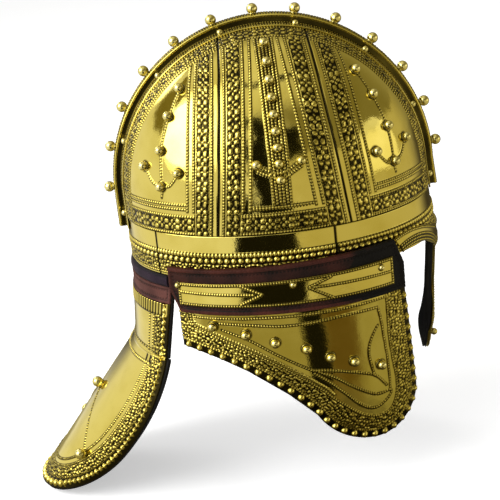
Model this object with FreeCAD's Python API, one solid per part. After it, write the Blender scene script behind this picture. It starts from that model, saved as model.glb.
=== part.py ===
import FreeCAD, Part
import math
import os

from FreeCAD import Vector

# Late Roman ridge helmet for a horseman, in millimetres.
# Origin at the centre of the rim, +X to the front, +Y to the wearer's left, +Z up.

# Bowl, on the outside of its brass sheathing, and how its wall opens out towards the rim
bowl_half_length = 109.5
bowl_half_width = 91.0
crown_centre_height = 49.0
rim_forward_shift = 2.3
rim_flare = 1.9
bowl_stroke_count = 9
bowl_turn_count = 22
liner_turn_count = 11

# Layers of the bowl and the gaps between them
sheath_thickness = 1.0
skull_thickness = 1.5
liner_thickness = 2.0
liner_recess = 4.0
layer_gap = 0.1
seam_gap = 0.3
overrun = 40.0

# Embossed panels of the sheathing, three to a side
panel_bottom = 31.0
seam_half_span = 45.2
seam_lean = 15.5

# Raised bands chased into the panels, along both sides of a seam and along the foot
relief_rise = 0.8
relief_border = 5.5
relief_width = 10.0
relief_foot_border = 2.8
relief_foot_width = 9.4
relief_ridge_gap = 0.6

# Rim band of four pieces
band_rear_joint = 88.0
band_front_joint = 33.0

# Ridge that covers the joint of the two halves, with its balls and rivets
ridge_half_width = 5.0
ridge_height = 6.0
ridge_crown = 0.8
ridge_flange_reach = 15.0
ridge_sheet = 1.0
ridge_rear_end = 23.0
ridge_front_end = 29.0
ridge_ball_radius = 3.6
ridge_ball_count = 13
ridge_ball_first_angle = 1.6
ridge_ball_last_angle = 174.5
flange_rivet_radius = 2.4
flange_rivet_height = 1.8
flange_rivet_count = 8
flange_rivet_first_angle = -7.6
flange_rivet_last_angle = 185.6
flange_rivet_offset = 10.4

# Ball studs of the panels: a column with an anchor at its foot, and a trident on each side
panel_stud_radius = 3.4
panel_stud_height = 4.6
column_stud_count = 8

# Leather roll under the back of the rim
roll_drop = 9.0
roll_depth = 5.5
roll_proud = 1.5

# Leather band that hinges on the rim over each ear
band_top_rear = 7.5
band_top_front = 12.5
band_bottom = -24.5
band_rear_reach = 83.0
band_front_reach = 80.5
band_front_slant = 6.3
band_clearance = 0.6
band_leather = 2.4

# Brass strap plate on the band
strap_top_rear = -2.2
strap_top_front = 1.2
strap_bottom = -18.6
strap_rear_reach = 77.0
strap_front_reach = 72.0
strap_sheet = 1.0
strap_rivet_radius = 2.2
strap_rivet_height = 1.6
strap_rivet_inset = 1.9

# Cheek guards
cheek_top = -17.5
cheek_rear_reach = 78.0
cheek_front_reach = 86.0
cheek_drop = 137.0
cheek_lean = 7.0
cheek_sheet = 1.0
cheek_lining = 1.8
cheek_clearance = 0.4
cheek_stud_radius = 3.9
cheek_stud_height = 4.4
lining_inset = 1.0

# Neck guard: leather hinge, upright plate and flared plate, lined with leather
neck_leather_top = -9.3
neck_leather_bottom = -22.0
neck_leather = 1.4
neck_fold = -62.5
neck_end = -169.3
neck_top_radius = 73.0
neck_top_recess = 0.2
neck_fold_radius = 89.0
neck_fold_step = 5.1
neck_end_radius = 45.7
neck_end_step = 90.9
neck_edge_depth = 18.1
neck_top_edge_depth = 28.4
neck_turn_angle = 85.0
neck_sheet = 1.2
neck_lining = 2.4
neck_lining_border = 0.8
neck_ball_radius = 4.0

# Nasal with its brow arches
brow_sheet = 1.1
brow_clearance = 0.3
brow_rear_reach = 81.0
brow_height = 13.8
brow_foot = -11.5
brow_centre_height = 4.4
nasal_half_width = 11.0
spade_half_width = 16.5
spade_height = -76.0
nasal_tip = -101.0
nasal_sheet = 1.2
nasal_lining = 2.0
nasal_flare_step = 1.5
nasal_step = 5.3
nasal_tip_step = 12.5
nasal_round = 32.0
nasal_turn_angle = 42.0
nasal_ball_radius = 2.6
nasal_ball_height = -83.0
nasal_ball_spread = 13.0

X_AXIS = Vector(1, 0, 0)
Y_AXIS = Vector(0, 1, 0)
Z_AXIS = Vector(0, 0, 1)
CROWN = Vector(0, 0, crown_centre_height)
SAME_PLACE = 1e-6

# Angles round the rim from the front between which the side strips run
strip_first_angle = 18.0
strip_last_angle = 162.0

# Numbers of flat strokes that stand for a curve; a hidden layer has half as many as the one it lines
side_stroke_count = 26
cheek_lining_stroke_count = 13
neck_stroke_count = 20
neck_lining_stroke_count = 10
nasal_stroke_count = 10
nasal_lining_stroke_count = 5
stud_side_count = 6


def mirrored(shape):
    """The same piece for the wearer's left side."""
    return shape.mirror(Vector(0, 0, 0), Y_AXIS)


def spread(first, last, count):
    return [first + (last - first) * i / (count - 1) for i in range(count)]


def strokes(first, last, count):
    """The ends of equal strokes from the first value to the last."""
    return spread(first, last, count + 1)


def face_of(points):
    return Part.Face(Part.makePolygon(points + [points[0]]))


def distinct(points):
    return [p for i, p in enumerate(points) if not p.isEqual(points[i - 1], SAME_PLACE)]


def faceted(rings):
    """Solid through rings of corners, with one flat face to each edge of a ring."""
    faces = [face_of(distinct(rings[0])), face_of(distinct(rings[-1]))]
    for first, second in zip(rings, rings[1:]):
        for i in range(len(first)):
            corners = distinct([first[i - 1], first[i], second[i], second[i - 1]])
            if len(corners) > 2:
                faces.append(face_of(corners))
    solid = Part.makeSolid(Part.makeShell(faces))
    return solid if solid.Volume > 0 else solid.reversed()


def arc_chain(points):
    """Arcs through each three points in turn, each starting where the last one ended."""
    return [Part.Arc(*points[i:i + 3]).toShape() for i in range(0, len(points) - 2, 2)]


def line_chain(points):
    return [Part.makeLine(p, q) for p, q in zip(points, points[1:])]


def side_cut(edges, reach):
    """A side-view outline in the middle plane, carried out to the wearer's right."""
    return Part.Face(Part.Wire(edges)).extrude(Vector(0, -reach, 0))


def side_prism(outline, reach):
    points = [Vector(x, 0, z) for x, z in outline]
    return side_cut(line_chain(points + points[:1]), reach)


# Plan of the bowl at a height: an ellipse that opens out below the crown centre
def flare_at(height):
    return (crown_centre_height - height) / crown_centre_height


def centre_at(height):
    return rim_forward_shift * flare_at(height)


def scale_at(height):
    return 1 + rim_flare / bowl_half_length * flare_at(height)


def plan_point(offset, angle, level, height):
    """Place at a height over the plan that the bowl has at a level."""
    x = centre_at(level) + (bowl_half_length + offset) * scale_at(level) * math.cos(angle)
    return Vector(x, (bowl_half_width + offset) * scale_at(level) * math.sin(angle), height)


def angle_at(reach):
    """Plan angle on the right side of the rim at a distance in front of the middle."""
    return -math.acos((reach - centre_at(0)) / bowl_half_length / scale_at(0))


def plan_normal(angle):
    normal = Vector(bowl_half_width * math.cos(angle), bowl_half_length * math.sin(angle), 0)
    return normal.normalize()


# The bowl is beaten in flat strokes, in rows that run from the back over the crown to the brow
def half_bowl(outside, inside, low, edge, turn_count=bowl_turn_count):
    """Right half of one layer: its section turned over the crown, and the wall below."""
    first = math.asin(edge / bowl_half_width)
    edges = strokes(first, math.pi / 2, bowl_stroke_count)

    def section(offset):
        return [((bowl_half_length + offset) * math.cos(t),
                 -(bowl_half_width + offset) * math.sin(t)) for t in edges]
    outer = section(outside)
    inner = section(inside)[::-1]

    def over_crown(turn):
        return [CROWN + Vector(r * math.cos(turn), y, r * math.sin(turn)) for r, y in outer + inner]

    def across(height):
        middle = Vector(centre_at(height), 0, height)
        around = outer + [(-r, y) for r, y in outer[-2::-1] + inner[:0:-1]] + inner
        return [middle + Vector(x, y, 0) * scale_at(height) for x, y in around]
    dome = faceted([over_crown(a) for a in strokes(0, math.pi, turn_count)])
    wall = faceted([across(low), across(crown_centre_height)])
    return dome.fuse(wall).removeSplitter()


def hoop(outside, inside, low, high, upright):
    """A ring all the way round, upright on the rim's plan or following the bowl's wall."""
    def filled(offset):
        turns = [math.pi / 2 * i / bowl_stroke_count for i in range(4 * bowl_stroke_count)]
        return faceted([[plan_point(offset, a, 0 if upright else z, z) for a in turns]
                        for z in (low, high)])
    return filled(outside).cut(filled(inside))


def side_strip(outside, inside, high, low, lean=0, count=side_stroke_count):
    """A strip round the right side of the rim; it can lean in by an angle on its way down."""
    turns = strokes(-math.radians(strip_last_angle), -math.radians(strip_first_angle), count)
    shift = Vector(0, (high - low) * math.tan(math.radians(lean)), 0)
    top = [plan_point(outside, a, 0, high) for a in turns]
    top += [plan_point(inside, a, 0, high) for a in turns[::-1]]
    return faceted([top, [p + shift - Z_AXIS * (high - low) for p in top]])


def bowed_strip(stations, proud, thickness, turns, facing):
    """A strip with bowed sections, each given by height, reach and radius."""

    def ring(height, reach, radius):
        centre = Vector(facing * (reach - radius), 0, height)
        outer = [centre + Vector(facing * math.cos(a), math.sin(a), 0) * (radius - proud)
                 for a in turns]
        inner = [centre + Vector(facing * math.cos(a), math.sin(a), 0) * (radius - proud - thickness)
                 for a in turns[::-1]]
        return outer + inner
    return faceted([ring(*station) for station in stations])


# Studs and balls, many-sided, standing on a place along a direction
DOME_RING_SHARES = [(0.9, 0.0), (0.95, 0.45), (0.45, 1.0)]
RIVET_RING_SHARES = [(1.0, 0.0), (0.55, 1.0)]
BALL_RING_ANGLES = [-62, -22, 22, 62]


def studded(places, rings):
    studs = []
    for place, direction in places:
        turns = [2 * math.pi * i / stud_side_count for i in range(stud_side_count)]
        solid = faceted([[Vector(r * math.cos(a), r * math.sin(a), h) for a in turns]
                         for r, h in rings])
        solid.Placement = FreeCAD.Placement(place, FreeCAD.Rotation(Z_AXIS, direction))
        studs.append(solid)
    return Part.makeCompound(studs)


def stud_rings(shares, radius, height):
    return [(radius * r, height * h) for r, h in shares]


def ball_rings(radius):
    turns = [math.radians(a) for a in BALL_RING_ANGLES]
    foot = radius * math.sin(turns[-1])
    return [(radius * math.cos(a), radius * math.sin(a) + foot) for a in turns]


# Layers of the bowl
def head_liner():
    outside = -sheath_thickness - skull_thickness - 2 * layer_gap
    half = half_bowl(outside, outside - liner_thickness, liner_recess, 0, liner_turn_count)
    return half.fuse(mirrored(half)).removeSplitter()


def skull_half():
    outside = -sheath_thickness - layer_gap
    return half_bowl(outside, outside - skull_thickness, 0, seam_gap)


def panels():
    """Rear, middle and front panel of the right half, parted along two leaning seams."""
    low = panel_bottom - overrun
    high = crown_centre_height + bowl_half_length + overrun
    far = bowl_half_length + overrun
    reach = bowl_half_width + overrun
    seam_rise = crown_centre_height + bowl_half_length - panel_bottom

    def seam_line(step):
        """The front seam in side view, from below to above, moved to the front by a step."""
        shares = [(z - panel_bottom) / seam_rise for z in (low, high)]
        return [seam_half_span - seam_lean * share + step for share in shares]

    def strip(first, last):
        return [(first[0], low), (last[0], low), (last[1], high), (first[1], high)]
    near, away = relief_border, relief_border + relief_width
    bands = [strip(seam_line(side * near), seam_line(side * away)) for side in (-1, 1)]
    bands += [[(-x, z) for x, z in band] for band in bands]
    foot = panel_bottom + relief_foot_border + relief_foot_width
    bands.append([(-far, low), (far, low), (far, foot), (-far, foot)])
    layer = half_bowl(relief_rise, -relief_rise, panel_bottom + relief_foot_border, seam_gap)
    aside = Vector(0, -ridge_flange_reach - relief_ridge_gap, 0)
    raised = [layer.common(side_prism(band, reach).translated(aside)) for band in bands]
    sheathing = half_bowl(0, -sheath_thickness, panel_bottom, seam_gap).fuse(raised).removeSplitter()
    inner = seam_line(-seam_gap / 2)
    outer = seam_line(seam_gap / 2)
    middle = [(-inner[0], low), (inner[0], low), (inner[1], high), (-inner[1], high)]
    front = [(outer[0], low), (far, low), (far, high), (outer[1], high)]
    rear = [(-x, z) for x, z in front]
    return [sheathing.common(side_prism(outline, reach)) for outline in (rear, middle, front)]


def rim_bands():
    """Rear, front and right piece, each ending short of the next by the seam gap."""
    ring = hoop(0, -sheath_thickness, 0, panel_bottom - layer_gap, False)
    far = bowl_half_length + overrun
    reach = bowl_half_width + overrun

    def between(start, end):
        half = side_prism([(start, -overrun), (end, -overrun), (end, far), (start, far)], reach)
        return ring.common(half)
    rear_half = between(-far, -band_rear_joint - seam_gap)
    front_half = between(band_front_joint + seam_gap, far)
    pieces = [half.fuse(mirrored(half)).removeSplitter() for half in (rear_half, front_half)]
    return pieces + [between(-band_rear_joint, band_front_joint)]


def rim_roll():
    ring = hoop(roll_proud, roll_proud - roll_depth, -roll_drop, -layer_gap, True)
    far = bowl_half_length + overrun
    outline = [(-far, -far), (-band_rear_reach, -far), (-band_rear_reach, far), (-far, far)]
    half = ring.common(side_prism(outline, far))
    return half.fuse(mirrored(half)).removeSplitter()


# Ridge over the joint of the halves
def wall_shift(side, height):
    """How far the wall at the front or back has come out at a height below the crown centre."""
    return Vector(centre_at(height) + side * bowl_half_length * (scale_at(height) - 1), 0, 0)


def ridge():
    """A hat-shaped strip, turned over the crown, with a leg down the brow and the back."""
    def surface(y):
        return bowl_half_length * math.sqrt(1 - (y / bowl_half_width) ** 2) + layer_gap
    top = bowl_half_length + layer_gap + ridge_height
    wall = ridge_half_width - ridge_sheet
    half = [(0, top + ridge_crown), (ridge_half_width, top),
            (ridge_half_width, surface(ridge_half_width) + ridge_sheet),
            (ridge_flange_reach, surface(ridge_flange_reach) + ridge_sheet),
            (ridge_flange_reach, surface(ridge_flange_reach)), (wall, surface(wall)),
            (wall, top - ridge_sheet), (0, top + ridge_crown - ridge_sheet)]
    profile = half + [(-y, r) for y, r in half[-2:0:-1]]

    def ring(turn):
        return [CROWN + Vector(r * math.cos(turn), y, r * math.sin(turn)) for y, r in profile]
    rings = [ring(a) for a in strokes(0, math.pi, bowl_turn_count)]

    def leg(start, side, end):
        drop = Vector(0, 0, end - crown_centre_height) + wall_shift(side, end)
        return [p + drop for p in start]
    return faceted([leg(rings[0], 1, ridge_front_end)] + rings + [leg(rings[-1], -1, ridge_rear_end)])


def ridge_place(angle, radius, y):
    """Place over the crown and the direction square to it, leaning aside with the bowl's roundness.

    The angle starts level at the back, and below level the place is on the upright wall."""
    turn = math.radians(angle)
    outward = Vector(-math.cos(turn), 0, math.sin(turn))
    aside = Y_AXIS * (y * bowl_half_length / bowl_half_width ** 2)
    if outward.z >= 0:
        return CROWN + outward * radius + Y_AXIS * y, (outward + aside).normalize()
    side = math.copysign(1, outward.x)
    height = crown_centre_height + radius * outward.z
    place = Vector(side * radius, y, height) + wall_shift(side, height)
    return place, (X_AXIS * side + aside).normalize()


def ridge_balls():
    seat = bowl_half_length + layer_gap + ridge_height + ridge_crown
    angles = spread(ridge_ball_first_angle, ridge_ball_last_angle, ridge_ball_count)
    return studded([ridge_place(a, seat, 0) for a in angles], ball_rings(ridge_ball_radius))


def ridge_rivets():
    share = math.sqrt(1 - (flange_rivet_offset / bowl_half_width) ** 2)
    seat = bowl_half_length * share + 2 * layer_gap + ridge_sheet
    angles = spread(flange_rivet_first_angle, flange_rivet_last_angle, flange_rivet_count)
    places = [ridge_place(a, seat, -flange_rivet_offset) for a in angles]
    return studded(places, stud_rings(RIVET_RING_SHARES, flange_rivet_radius, flange_rivet_height))


# Studs of the panels, by side-view places over the crown centre as shares of the bowl's half length
COLUMN_RISE_SHARES = (0.265, 0.913)
ANCHOR_SHARES = [(-0.135, 0.269), (0.135, 0.269), (0.0, 0.169)]
TRIDENT_SHARES = [(0.545, 0.7), (0.632, 0.55), (0.704, 0.355), (0.61, 0.23), (0.82, 0.25), (0.726, 0.14)]


def bowl_place(x_share, rise_share):
    """Place and outward direction on the right side of the bowl above the crown centre."""
    side_share = math.sqrt(1 - x_share ** 2 - rise_share ** 2)
    place = Vector(bowl_half_length * x_share, -bowl_half_width * side_share,
                   bowl_half_length * rise_share)
    normal = Vector(x_share / bowl_half_length, -side_share / bowl_half_width,
                    rise_share / bowl_half_length).normalize()
    return CROWN + place + normal * layer_gap, normal


def panel_studs():
    rings = stud_rings(DOME_RING_SHARES, panel_stud_radius, panel_stud_height)
    middle = [(0, z) for z in spread(*COLUMN_RISE_SHARES, column_stud_count)] + ANCHOR_SHARES
    rear = [(-x, z) for x, z in TRIDENT_SHARES]
    return [studded([bowl_place(*p) for p in group], rings) for group in (rear, middle, TRIDENT_SHARES)]


# Leather band over the ear, with its brass strap plate and rivets
def hinge_leather():
    notch_height = (band_top_front + band_bottom) / 2
    outline = [(-band_rear_reach, band_top_rear), (band_front_reach - band_front_slant, band_top_front),
               (band_front_reach, notch_height), (band_front_reach, band_bottom),
               (-strap_rear_reach, band_bottom), (-band_rear_reach, notch_height)]
    outside = band_clearance + band_leather
    strip = side_strip(outside, band_clearance, band_top_front + overrun, band_bottom - overrun)
    return strip.common(side_prism(outline, bowl_half_width + overrun))


def strap_plate():
    outline = [(-strap_rear_reach, strap_top_rear), (strap_front_reach, strap_top_front),
               (strap_front_reach, strap_bottom), (-strap_rear_reach, strap_bottom)]
    inside = band_clearance + band_leather + layer_gap
    strip = side_strip(inside + strap_sheet, inside, band_top_front, band_bottom)
    return strip.common(side_prism(outline, bowl_half_width + overrun))


def rim_place(x, height, offset):
    angle = angle_at(x)
    return plan_point(0, angle, 0, height) + plan_normal(angle) * offset, plan_normal(angle)


STRAP_RIVET_SHARES = [0.02, 0.524, 0.927]


def strap_rivets():
    """Three rivets at shares of the strap's length, level with each other."""
    offset = band_clearance + band_leather + 2 * layer_gap + strap_sheet
    length = strap_front_reach + strap_rear_reach
    places = [rim_place(length * share - strap_rear_reach, strap_top_rear - strap_rivet_inset, offset)
              for share in STRAP_RIVET_SHARES]
    return studded(places, stud_rings(RIVET_RING_SHARES, strap_rivet_radius, strap_rivet_height))


# Cheek guard on the right side: a plate and its lining that lean in towards the jaw
CHEEK_EDGE_SHARES = [(0.0, 0.385), (0.276, 0.518), (0.538, 0.795), (0.652, 0.942), (0.78, 1.0),
                     (0.94, 0.945), (1.0, 0.76), (0.988, 0.526), (0.962, 0.128)]
CHEEK_STUD_SHARES = [(0.137, 0.252), (0.27, 0.296), (0.388, 0.348), (0.516, 0.4), (0.613, 0.467),
                     (0.714, 0.519), (0.832, 0.58)]


def cheek_point(x_share, drop_share):
    width = cheek_rear_reach + cheek_front_reach
    return Vector(width * x_share - cheek_rear_reach, 0, -cheek_drop * drop_share)


def cheek_layer(outside, thickness, inset, count):
    edge = [cheek_point(*p) for p in CHEEK_EDGE_SHARES]
    edge[-1].z = cheek_top
    back = Vector(-cheek_rear_reach, 0, cheek_top)
    outline = Part.Face(Part.Wire(arc_chain(edge) + line_chain([edge[-1], back, edge[0]])))
    if inset:
        outline = outline.makeOffset2D(-inset)
    strip = side_strip(outside, outside - thickness, cheek_top, -cheek_drop - overrun, cheek_lean, count)
    return strip.common(outline.extrude(Vector(0, -bowl_half_width - overrun, 0)))


def cheek_plate():
    return cheek_layer(band_clearance - cheek_clearance, cheek_sheet, 0, side_stroke_count)


def cheek_lining_sheet():
    outside = band_clearance - cheek_clearance - cheek_sheet - layer_gap
    return cheek_layer(outside, cheek_lining, lining_inset, cheek_lining_stroke_count)


def cheek_studs():
    rings = stud_rings(DOME_RING_SHARES, cheek_stud_radius, cheek_stud_height)
    lean = math.tan(math.radians(cheek_lean))
    places = []
    for point in [cheek_point(*p) for p in CHEEK_STUD_SHARES]:
        place, normal = rim_place(point.x, point.z, band_clearance - cheek_clearance + layer_gap)
        normal.z = normal.y * lean
        places.append((place + Y_AXIS * (cheek_top - point.z) * lean, normal.normalize()))
    return studded(places, rings)


# Neck guard: leather hinge, upright plate and flared plate over two linings
NECK_EDGE_SHARES = [(0.0, 0.0), (0.132, 0.333), (0.368, 0.688), (0.65, 0.91), (1.0, 1.0)]
NECK_BALL_SHARES = [(0, 0.36), (-0.72, 0.72), (0.72, 0.72)]


def neck_station(share, start, end):
    return [a + (b - a) * share for a, b in zip(start, end)]


neck_top_reach = (bowl_half_length + roll_proud) * scale_at(0) - centre_at(0) - neck_top_recess
neck_fold_reach = neck_top_reach + neck_fold_step
neck_end_reach = neck_top_reach + neck_end_step
neck_edge_reach = neck_top_reach - neck_edge_depth
NECK_TOP = (neck_leather_top, neck_top_reach, neck_top_radius)
NECK_FOLD = (neck_fold, neck_fold_reach, neck_fold_radius)
NECK_END = (neck_end, neck_end_reach, neck_end_radius)


def neck_turns(count):
    return strokes(-math.radians(neck_turn_angle), math.radians(neck_turn_angle), count)


def neck_cut(strip, edge, low, high, border):
    """Keep what lies behind a side-view edge, which runs from its upper to its lower end."""
    behind = -neck_end_reach - overrun
    corners = [edge[-1].Vertexes[-1].Point, Vector(behind, 0, low), Vector(behind, 0, high),
               edge[0].Vertexes[0].Point]
    outline = Part.Face(Part.Wire(edge + line_chain(corners)))
    if border:
        outline = outline.makeOffset2D(border)
    half = strip.common(outline.extrude(Vector(0, -neck_fold_reach, 0)))
    return half.fuse(mirrored(half)).removeSplitter()


def neck_upright(high, low, proud, thickness, border, count=neck_stroke_count):
    height = neck_leather_top - neck_fold
    stations = [neck_station((neck_leather_top - z) / height, NECK_TOP, NECK_FOLD)
                for z in (high, low)]
    strip = bowed_strip(stations, proud, thickness, neck_turns(count), -1)
    edge = Part.makeLine(Vector(neck_top_edge_depth - neck_top_reach, 0, neck_leather_top),
                         Vector(-neck_edge_reach, 0, neck_fold))
    return neck_cut(strip, [edge], neck_fold, neck_leather_top, border)


def neck_flare(proud, thickness, border, count=neck_stroke_count):
    """A cone that leans back; its sheets are thicker along the level than across."""
    run = neck_end_reach - neck_edge_reach
    drop = neck_fold - neck_end
    slope = math.hypot(neck_end_reach - neck_fold_reach, drop) / drop
    stations = [NECK_FOLD, neck_station(1 + overrun / drop, NECK_FOLD, NECK_END)]
    strip = bowed_strip(stations, proud * slope, thickness * slope, neck_turns(count), -1)
    edge = [Vector(-neck_edge_reach - run * x, 0, neck_fold - drop * z) for x, z in NECK_EDGE_SHARES]
    return neck_cut(strip, arc_chain(edge), neck_end, neck_fold, border)


def neck_balls():
    """A ball at the middle and one on each side, square to the flare, whose sections also shrink."""
    drop = neck_fold - neck_end
    lean = (neck_end_reach - neck_fold_reach) / drop
    shrink = (neck_fold_radius - neck_end_radius) / drop
    places = []
    for turn, share in NECK_BALL_SHARES:
        height, reach, radius = neck_station(share, NECK_FOLD, NECK_END)
        rise = lean * math.cos(turn) - shrink * (1 - math.cos(turn))
        normal = Vector(-math.cos(turn), math.sin(turn), rise).normalize()
        place = Vector(radius - reach - radius * math.cos(turn), radius * math.sin(turn), height)
        places.append((place + normal * layer_gap, normal))
    return studded(places, ball_rings(neck_ball_radius))


# Nasal, in one plate with the brow arches
brow_reach = (bowl_half_length + brow_clearance + brow_sheet) * scale_at(0) + centre_at(0)
nasal_flare = brow_reach - nasal_flare_step
nasal_reach = brow_reach - nasal_step
nasal_waist_share = 0.9
SPADE_CORNER_SHARES = (0.82, 0.6)
BROW_TOP_SHARES = (0.4, 1.0)
BROW_UNDER_SHARES = (0.55, 0.1)
brow_corner_share = 0.85


def nasal_stations():
    brow_round = bowl_half_width ** 2 / bowl_half_length
    middle = (brow_foot + spade_height) / 2
    middle_reach = (nasal_flare + 2 * nasal_reach) / 3
    return [(brow_centre_height, brow_reach, brow_round),
            (0, brow_reach, brow_round),
            (brow_foot, nasal_flare, (brow_round + nasal_round) / 2),
            (middle, middle_reach, nasal_round),
            (spade_height, nasal_reach, nasal_round),
            (nasal_tip - nasal_sheet, brow_reach - nasal_tip_step, nasal_round)]


def nasal_bar(proud, thickness, top, count=nasal_stroke_count):
    turns = strokes(-math.radians(nasal_turn_angle), math.radians(nasal_turn_angle), count)
    strip = bowed_strip(nasal_stations(), proud, thickness, turns, 1)
    waist = Vector(0, -nasal_half_width * nasal_waist_share, (brow_foot + spade_height) / 2)
    corner_width, corner_drop = SPADE_CORNER_SHARES
    corner = Vector(0, -spade_half_width * corner_width,
                    spade_height + (nasal_tip - spade_height) * corner_drop)
    right = [Vector(0, -nasal_half_width, top), waist, Vector(0, -spade_half_width, spade_height),
             corner, Vector(0, 0, nasal_tip)]
    left = [Vector(0, -p.y, p.z) for p in right[::-1]]
    edges = line_chain([left[-1]] + right[:3]) + arc_chain(right[2:]) + arc_chain(left[:3])
    outline = Part.Face(Part.Wire(edges + line_chain(left[2:])))
    return strip.common(outline.extrude(Vector(nasal_flare + overrun, 0, 0)))


def brow_arch():
    """The arch over the right eye, from a strip that lies on the rim band."""
    ring = hoop(brow_clearance + brow_sheet, brow_clearance, brow_foot, brow_height + brow_sheet, True)
    far = nasal_flare + overrun
    corner_height = brow_height * brow_corner_share
    slant = corner_height * band_front_slant / band_top_front

    def arch_point(x_share, height_share):
        span = nasal_reach - brow_rear_reach
        return Vector(brow_rear_reach + span * x_share, 0, brow_height * height_share)
    upper = [Vector(brow_rear_reach - slant, 0, corner_height), arch_point(*BROW_TOP_SHARES),
             Vector(nasal_reach, 0, brow_centre_height)]
    lower = [Vector(nasal_reach, 0, brow_foot), arch_point(*BROW_UNDER_SHARES), arch_point(0, 0)]
    front = [Vector(far, 0, brow_centre_height), Vector(far, 0, brow_foot)]
    edges = arc_chain(upper) + line_chain([upper[-1]] + front + [lower[0]])
    edges += arc_chain(lower) + line_chain([lower[-1], upper[0]])
    return ring.common(side_cut(edges, far))


def nasal_plate():
    arch = brow_arch()
    bar = nasal_bar(0, nasal_sheet, brow_centre_height)
    return bar.fuse([arch, mirrored(arch)]).removeSplitter()


def nasal_balls():
    """A ball on each side of the spade, square to its face, which leans back to the tip."""
    turn = math.asin(nasal_ball_spread / nasal_round)
    lean = (nasal_tip_step - nasal_step) / (spade_height - nasal_tip + nasal_sheet)
    centre = nasal_reach - (spade_height - nasal_ball_height) * lean - nasal_round
    places = []
    for hand in (-1, 1):
        around = Vector(math.cos(turn), hand * math.sin(turn), 0)
        normal = (around - Z_AXIS * lean).normalize()
        seat = Vector(centre, 0, nasal_ball_height) + around * nasal_round
        places.append((seat + normal * layer_gap, normal))
    return studded(places, ball_rings(nasal_ball_radius))


def write(name, shape):
    shape.exportStep("parts/" + name + ".step")


def write_pair(name, shape):
    write(name + "_right", shape)
    write(name + "_left", mirrored(shape))


os.makedirs("parts", exist_ok=True)
write("head_liner", head_liner())
write_pair("skull_half", skull_half())
for place_name, panel, studs in zip(("rear", "middle", "front"), panels(), panel_studs()):
    write_pair(place_name + "_panel", panel)
    write_pair(place_name + "_studs", studs)
rim_rear, rim_front, rim_side = rim_bands()
write("rim_band_rear", rim_rear)
write("rim_band_front", rim_front)
write_pair("rim_band", rim_side)
write("rim_roll", rim_roll())
write("ridge", ridge())
write("ridge_balls", ridge_balls())
write_pair("ridge_rivets", ridge_rivets())
write_pair("hinge_leather", hinge_leather())
write_pair("strap_plate", strap_plate())
write_pair("strap_rivets", strap_rivets())
write_pair("cheek_plate", cheek_plate())
write_pair("cheek_lining", cheek_lining_sheet())
write_pair("cheek_studs", cheek_studs())
write("neck_hinge_leather", neck_upright(neck_leather_top, neck_leather_bottom, 0, neck_leather, 0))
write("neck_upper_plate", neck_upright(neck_leather_bottom - seam_gap, neck_fold + seam_gap, 0,
                                       neck_sheet, 0))
write("neck_upper_lining", neck_upright(neck_leather_top, neck_fold + layer_gap,
                                        neck_leather + layer_gap, neck_lining, neck_lining_border,
                                        neck_lining_stroke_count))
write("neck_flare_plate", neck_flare(0, neck_sheet, 0))
write("neck_flare_lining", neck_flare(neck_sheet + layer_gap, neck_lining, neck_lining_border,
                                      neck_lining_stroke_count))
write("neck_balls", neck_balls())
write("nasal_plate", nasal_plate())
write("nasal_lining", nasal_bar(nasal_sheet + layer_gap, nasal_lining, -2 * nasal_lining,
                                nasal_lining_stroke_count))
write("nasal_balls", nasal_balls())
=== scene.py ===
import math

import bpy
import numpy as np

from mathutils import Matrix, Vector


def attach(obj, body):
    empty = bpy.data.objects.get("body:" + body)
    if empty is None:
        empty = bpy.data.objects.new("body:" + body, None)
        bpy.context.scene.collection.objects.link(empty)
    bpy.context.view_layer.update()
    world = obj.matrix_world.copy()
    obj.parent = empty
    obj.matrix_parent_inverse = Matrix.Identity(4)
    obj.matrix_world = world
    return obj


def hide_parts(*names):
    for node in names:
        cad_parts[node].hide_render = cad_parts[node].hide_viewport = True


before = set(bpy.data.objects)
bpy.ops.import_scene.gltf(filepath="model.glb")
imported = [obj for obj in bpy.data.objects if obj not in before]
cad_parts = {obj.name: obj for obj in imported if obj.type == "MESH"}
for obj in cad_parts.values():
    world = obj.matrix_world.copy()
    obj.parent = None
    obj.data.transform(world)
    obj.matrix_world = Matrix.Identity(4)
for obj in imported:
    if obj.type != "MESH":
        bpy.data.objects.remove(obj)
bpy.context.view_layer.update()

# The studio: a white sweep, a window of soft light at the back end and dark cards round it.
# The camera stands to the wearer's right, a little behind the middle and above the rim.
camera_place = (-0.04152, -0.94958, 0.30498)
camera_roll = math.radians(6.13)
view_back = np.array([-0.01819, -0.94958, 0.31300])
view_lens = 97.2
view_right = np.array([-view_back[1], view_back[0], 0.0])
view_right /= np.linalg.norm(view_right)
view_back /= np.linalg.norm(view_back)
view_up = np.cross(view_back, view_right)
rolled_right = view_right * math.cos(camera_roll) - view_up * math.sin(camera_roll)
rolled_up = view_right * math.sin(camera_roll) + view_up * math.cos(camera_roll)

camera_data = bpy.data.cameras.new("camera")
camera_data.lens = view_lens
camera_data.sensor_width = 36
camera = bpy.data.objects.new("camera", camera_data)
bpy.context.scene.collection.objects.link(camera)
turned = Matrix([list(axis) for axis in zip(rolled_right, rolled_up, view_back)]).to_4x4()
camera.matrix_world = Matrix.Translation(camera_place) @ turned
bpy.context.scene.camera = camera
bpy.context.scene.view_settings.view_transform = "Standard"


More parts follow.
